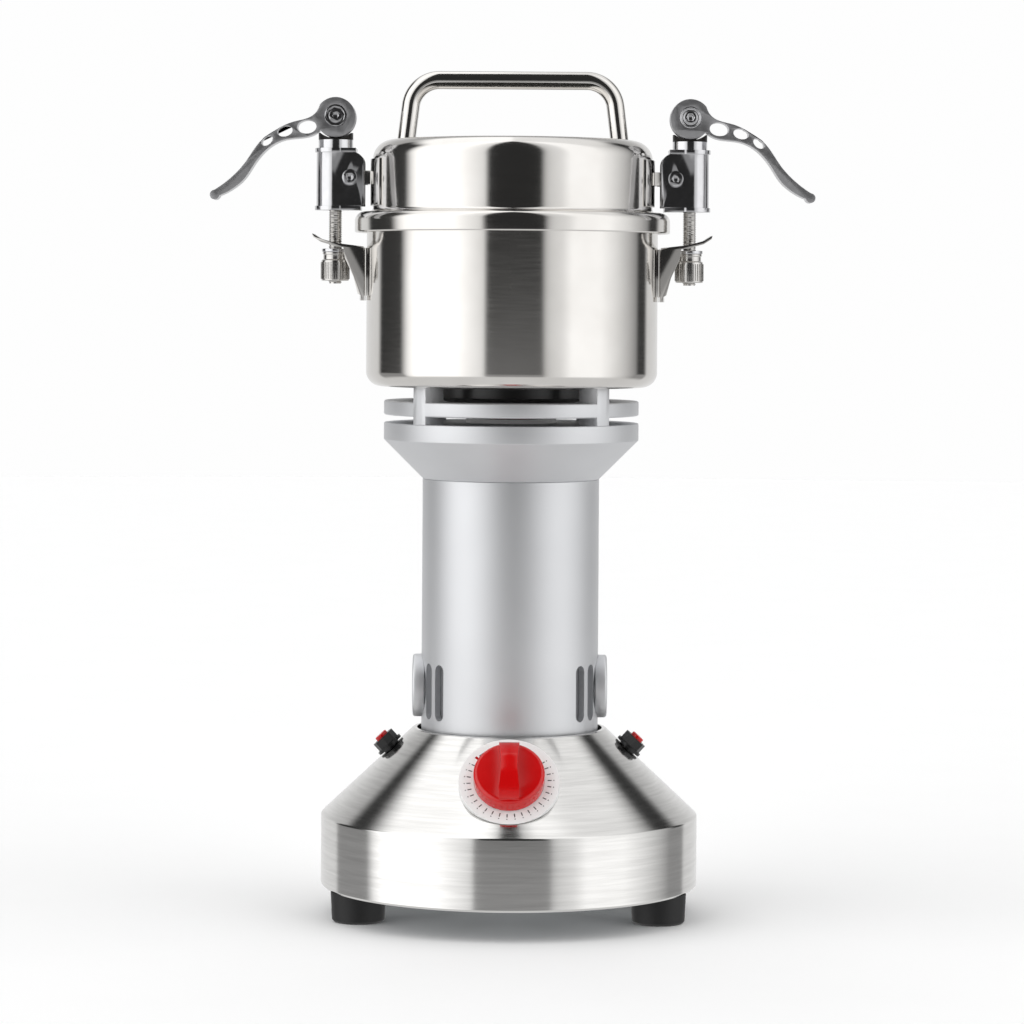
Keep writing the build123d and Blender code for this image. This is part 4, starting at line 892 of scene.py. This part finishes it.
# %% The ring of light
# Degrees round from the camera, to the right, and how bright the room is there.
RING = [(-180, 0.85), (-131, 0.83), (-125, 0.04), (-98, 0.05), (-90, 1.2), (-84, 1.6), (-44, 1.6),
        (-30, 1.2), (-22.5, 1.0), (-19, 0.03), (22.5, 0.03), (27, 0.7), (31, 0.85), (40, 1.0),
        (48, 1.35), (74, 1.35), (90, 1.0), (104, 0.65), (115, 0.35), (119, 0.05), (129, 0.05),
        (135, 0.8), (180, 0.85)]
BRIGHTEST = 1.6
LEAN = 0.0022
CEILING_LEFT, CEILING_RIGHT = 1.45, 1.05
FLOOR_LIGHT = 0.8
# The least light that comes up from low down, how much more light a matt surface gets, and the backdrop.
LOW_GLOW = 0.34
FILL = 1.2
BACKDROP = 0.99


def ease(tree, value, start, end, low=0.0, high=1.0):
    """Moves smoothly from low to high while a value goes from start to end."""
    return add(tree, "ShaderNodeMapRange", {"Value": value, "From Min": start, "From Max": end, "To Min": low,
                                            "To Max": high}, interpolation_type="SMOOTHSTEP").outputs[0]


def blend_numbers(tree, share, first, second):
    """Mixes two numbers by a share between 0 and 1."""
    rest = maths(tree, "SUBTRACT", 1.0, share)
    return maths(tree, "ADD", maths(tree, "MULTIPLY", first, rest), maths(tree, "MULTIPLY", second, share))


def soft_room():
    """World light from the ring, whose panels lean in with height, with a ceiling behind and a floor."""
    world = bpy.data.worlds.new("soft_room")
    bpy.context.scene.world = world
    world.use_nodes = True
    tree = world.node_tree
    tree.nodes.clear()
    direction = tree.nodes.new("ShaderNodeTexCoord").outputs["Generated"]
    split = add(tree, "ShaderNodeSeparateXYZ", {"Vector": direction})
    x, y, z = (split.outputs[i] for i in range(3))
    azimuth = maths(tree, "DEGREES", maths(tree, "ARCTAN2", x, maths(tree, "MULTIPLY", y, -1.0)))
    height = maths(tree, "DEGREES", maths(tree, "ARCSINE", z))
    lean = maths(tree, "MULTIPLY", maths(tree, "MAXIMUM", height, 0.0), -LEAN)
    leaned = maths(tree, "MULTIPLY", azimuth, maths(tree, "ADD", lean, 1.0))
    share = add(tree, "ShaderNodeMapRange", {"Value": leaned, "From Min": -180.0, "From Max": 180.0})
    ramp = add(tree, "ShaderNodeValToRGB", {"Fac": share.outputs[0]})
    stops = ramp.color_ramp.elements
    for degrees, strength in RING[1:-1]:
        stops.new((degrees + 180) / 360).color = [strength / BRIGHTEST] * 3 + [1]
    stops[0].color = [RING[0][1] / BRIGHTEST] * 3 + [1]
    stops[len(stops) - 1].color = [RING[-1][1] / BRIGHTEST] * 3 + [1]
    ring = maths(tree, "MULTIPLY", ramp.outputs["Color"], BRIGHTEST)
    away = maths(tree, "ABSOLUTE", azimuth)
    far = ease(tree, away, 128, 136)
    ring = maths(tree, "MULTIPLY", ring, blend_numbers(tree, far, 1.0, ease(tree, height, 6, 36, 1.0, 0.6)))
    over = maths(tree, "MULTIPLY", ease(tree, height, 39, 52), ease(tree, away, 76, 96))
    ceiling = ease(tree, azimuth, -40, 40, CEILING_LEFT, CEILING_RIGHT)
    lit = blend_numbers(tree, over, ring, ceiling)
    lit = maths(tree, "MAXIMUM", lit, ease(tree, height, -1.5, -7, 0.0, LOW_GLOW))
    lit = blend_numbers(tree, ease(tree, height, -14, -26), lit, FLOOR_LIGHT)
    path = tree.nodes.new("ShaderNodeLightPath").outputs
    lit = maths(tree, "MULTIPLY", lit, blend_numbers(tree, path["Is Diffuse Ray"], 1.0, FILL))
    seen = blend_numbers(tree, path["Is Camera Ray"], lit, BACKDROP)
    light = add(tree, "ShaderNodeBackground", {"Strength": seen})
    out = tree.nodes.new("ShaderNodeOutputWorld")
    tree.links.new(light.outputs[0], out.inputs["Surface"])
    light.inputs["Color"].default_value = (1, 1, 1, 1)
    return world


soft_room()

# %% [markdown]
# ## Camera
# The camera is level at about the height of the clamps' forks, 1.63 m away, with a long 130 mm lens, so
# upright lines stay upright. The frame is shifted down to take in the feet, as a view camera's back is,
# and the camera is rolled by a third of a degree.

# %% Camera
AWAY, EYE_HEIGHT = 1.63, 0.269
LENS, FRAME_SHIFT, ROLL = 130.2, -0.207, math.radians(-0.35)


def studio_camera():
    """A level camera in front, its frame shifted down to the object's middle."""
    data = bpy.data.cameras.new("camera")
    data.lens = LENS
    data.sensor_width = 36
    data.shift_y = FRAME_SHIFT
    data.clip_end = 50
    camera = bpy.data.objects.new("camera", data)
    bpy.context.scene.collection.objects.link(camera)
    camera.location = (0.0, -AWAY, EYE_HEIGHT)
    camera.rotation_euler = (math.radians(90), ROLL, 0)
    bpy.context.scene.camera = camera
    return camera


studio_camera()
bpy.context.scene.view_settings.view_transform = "Standard"
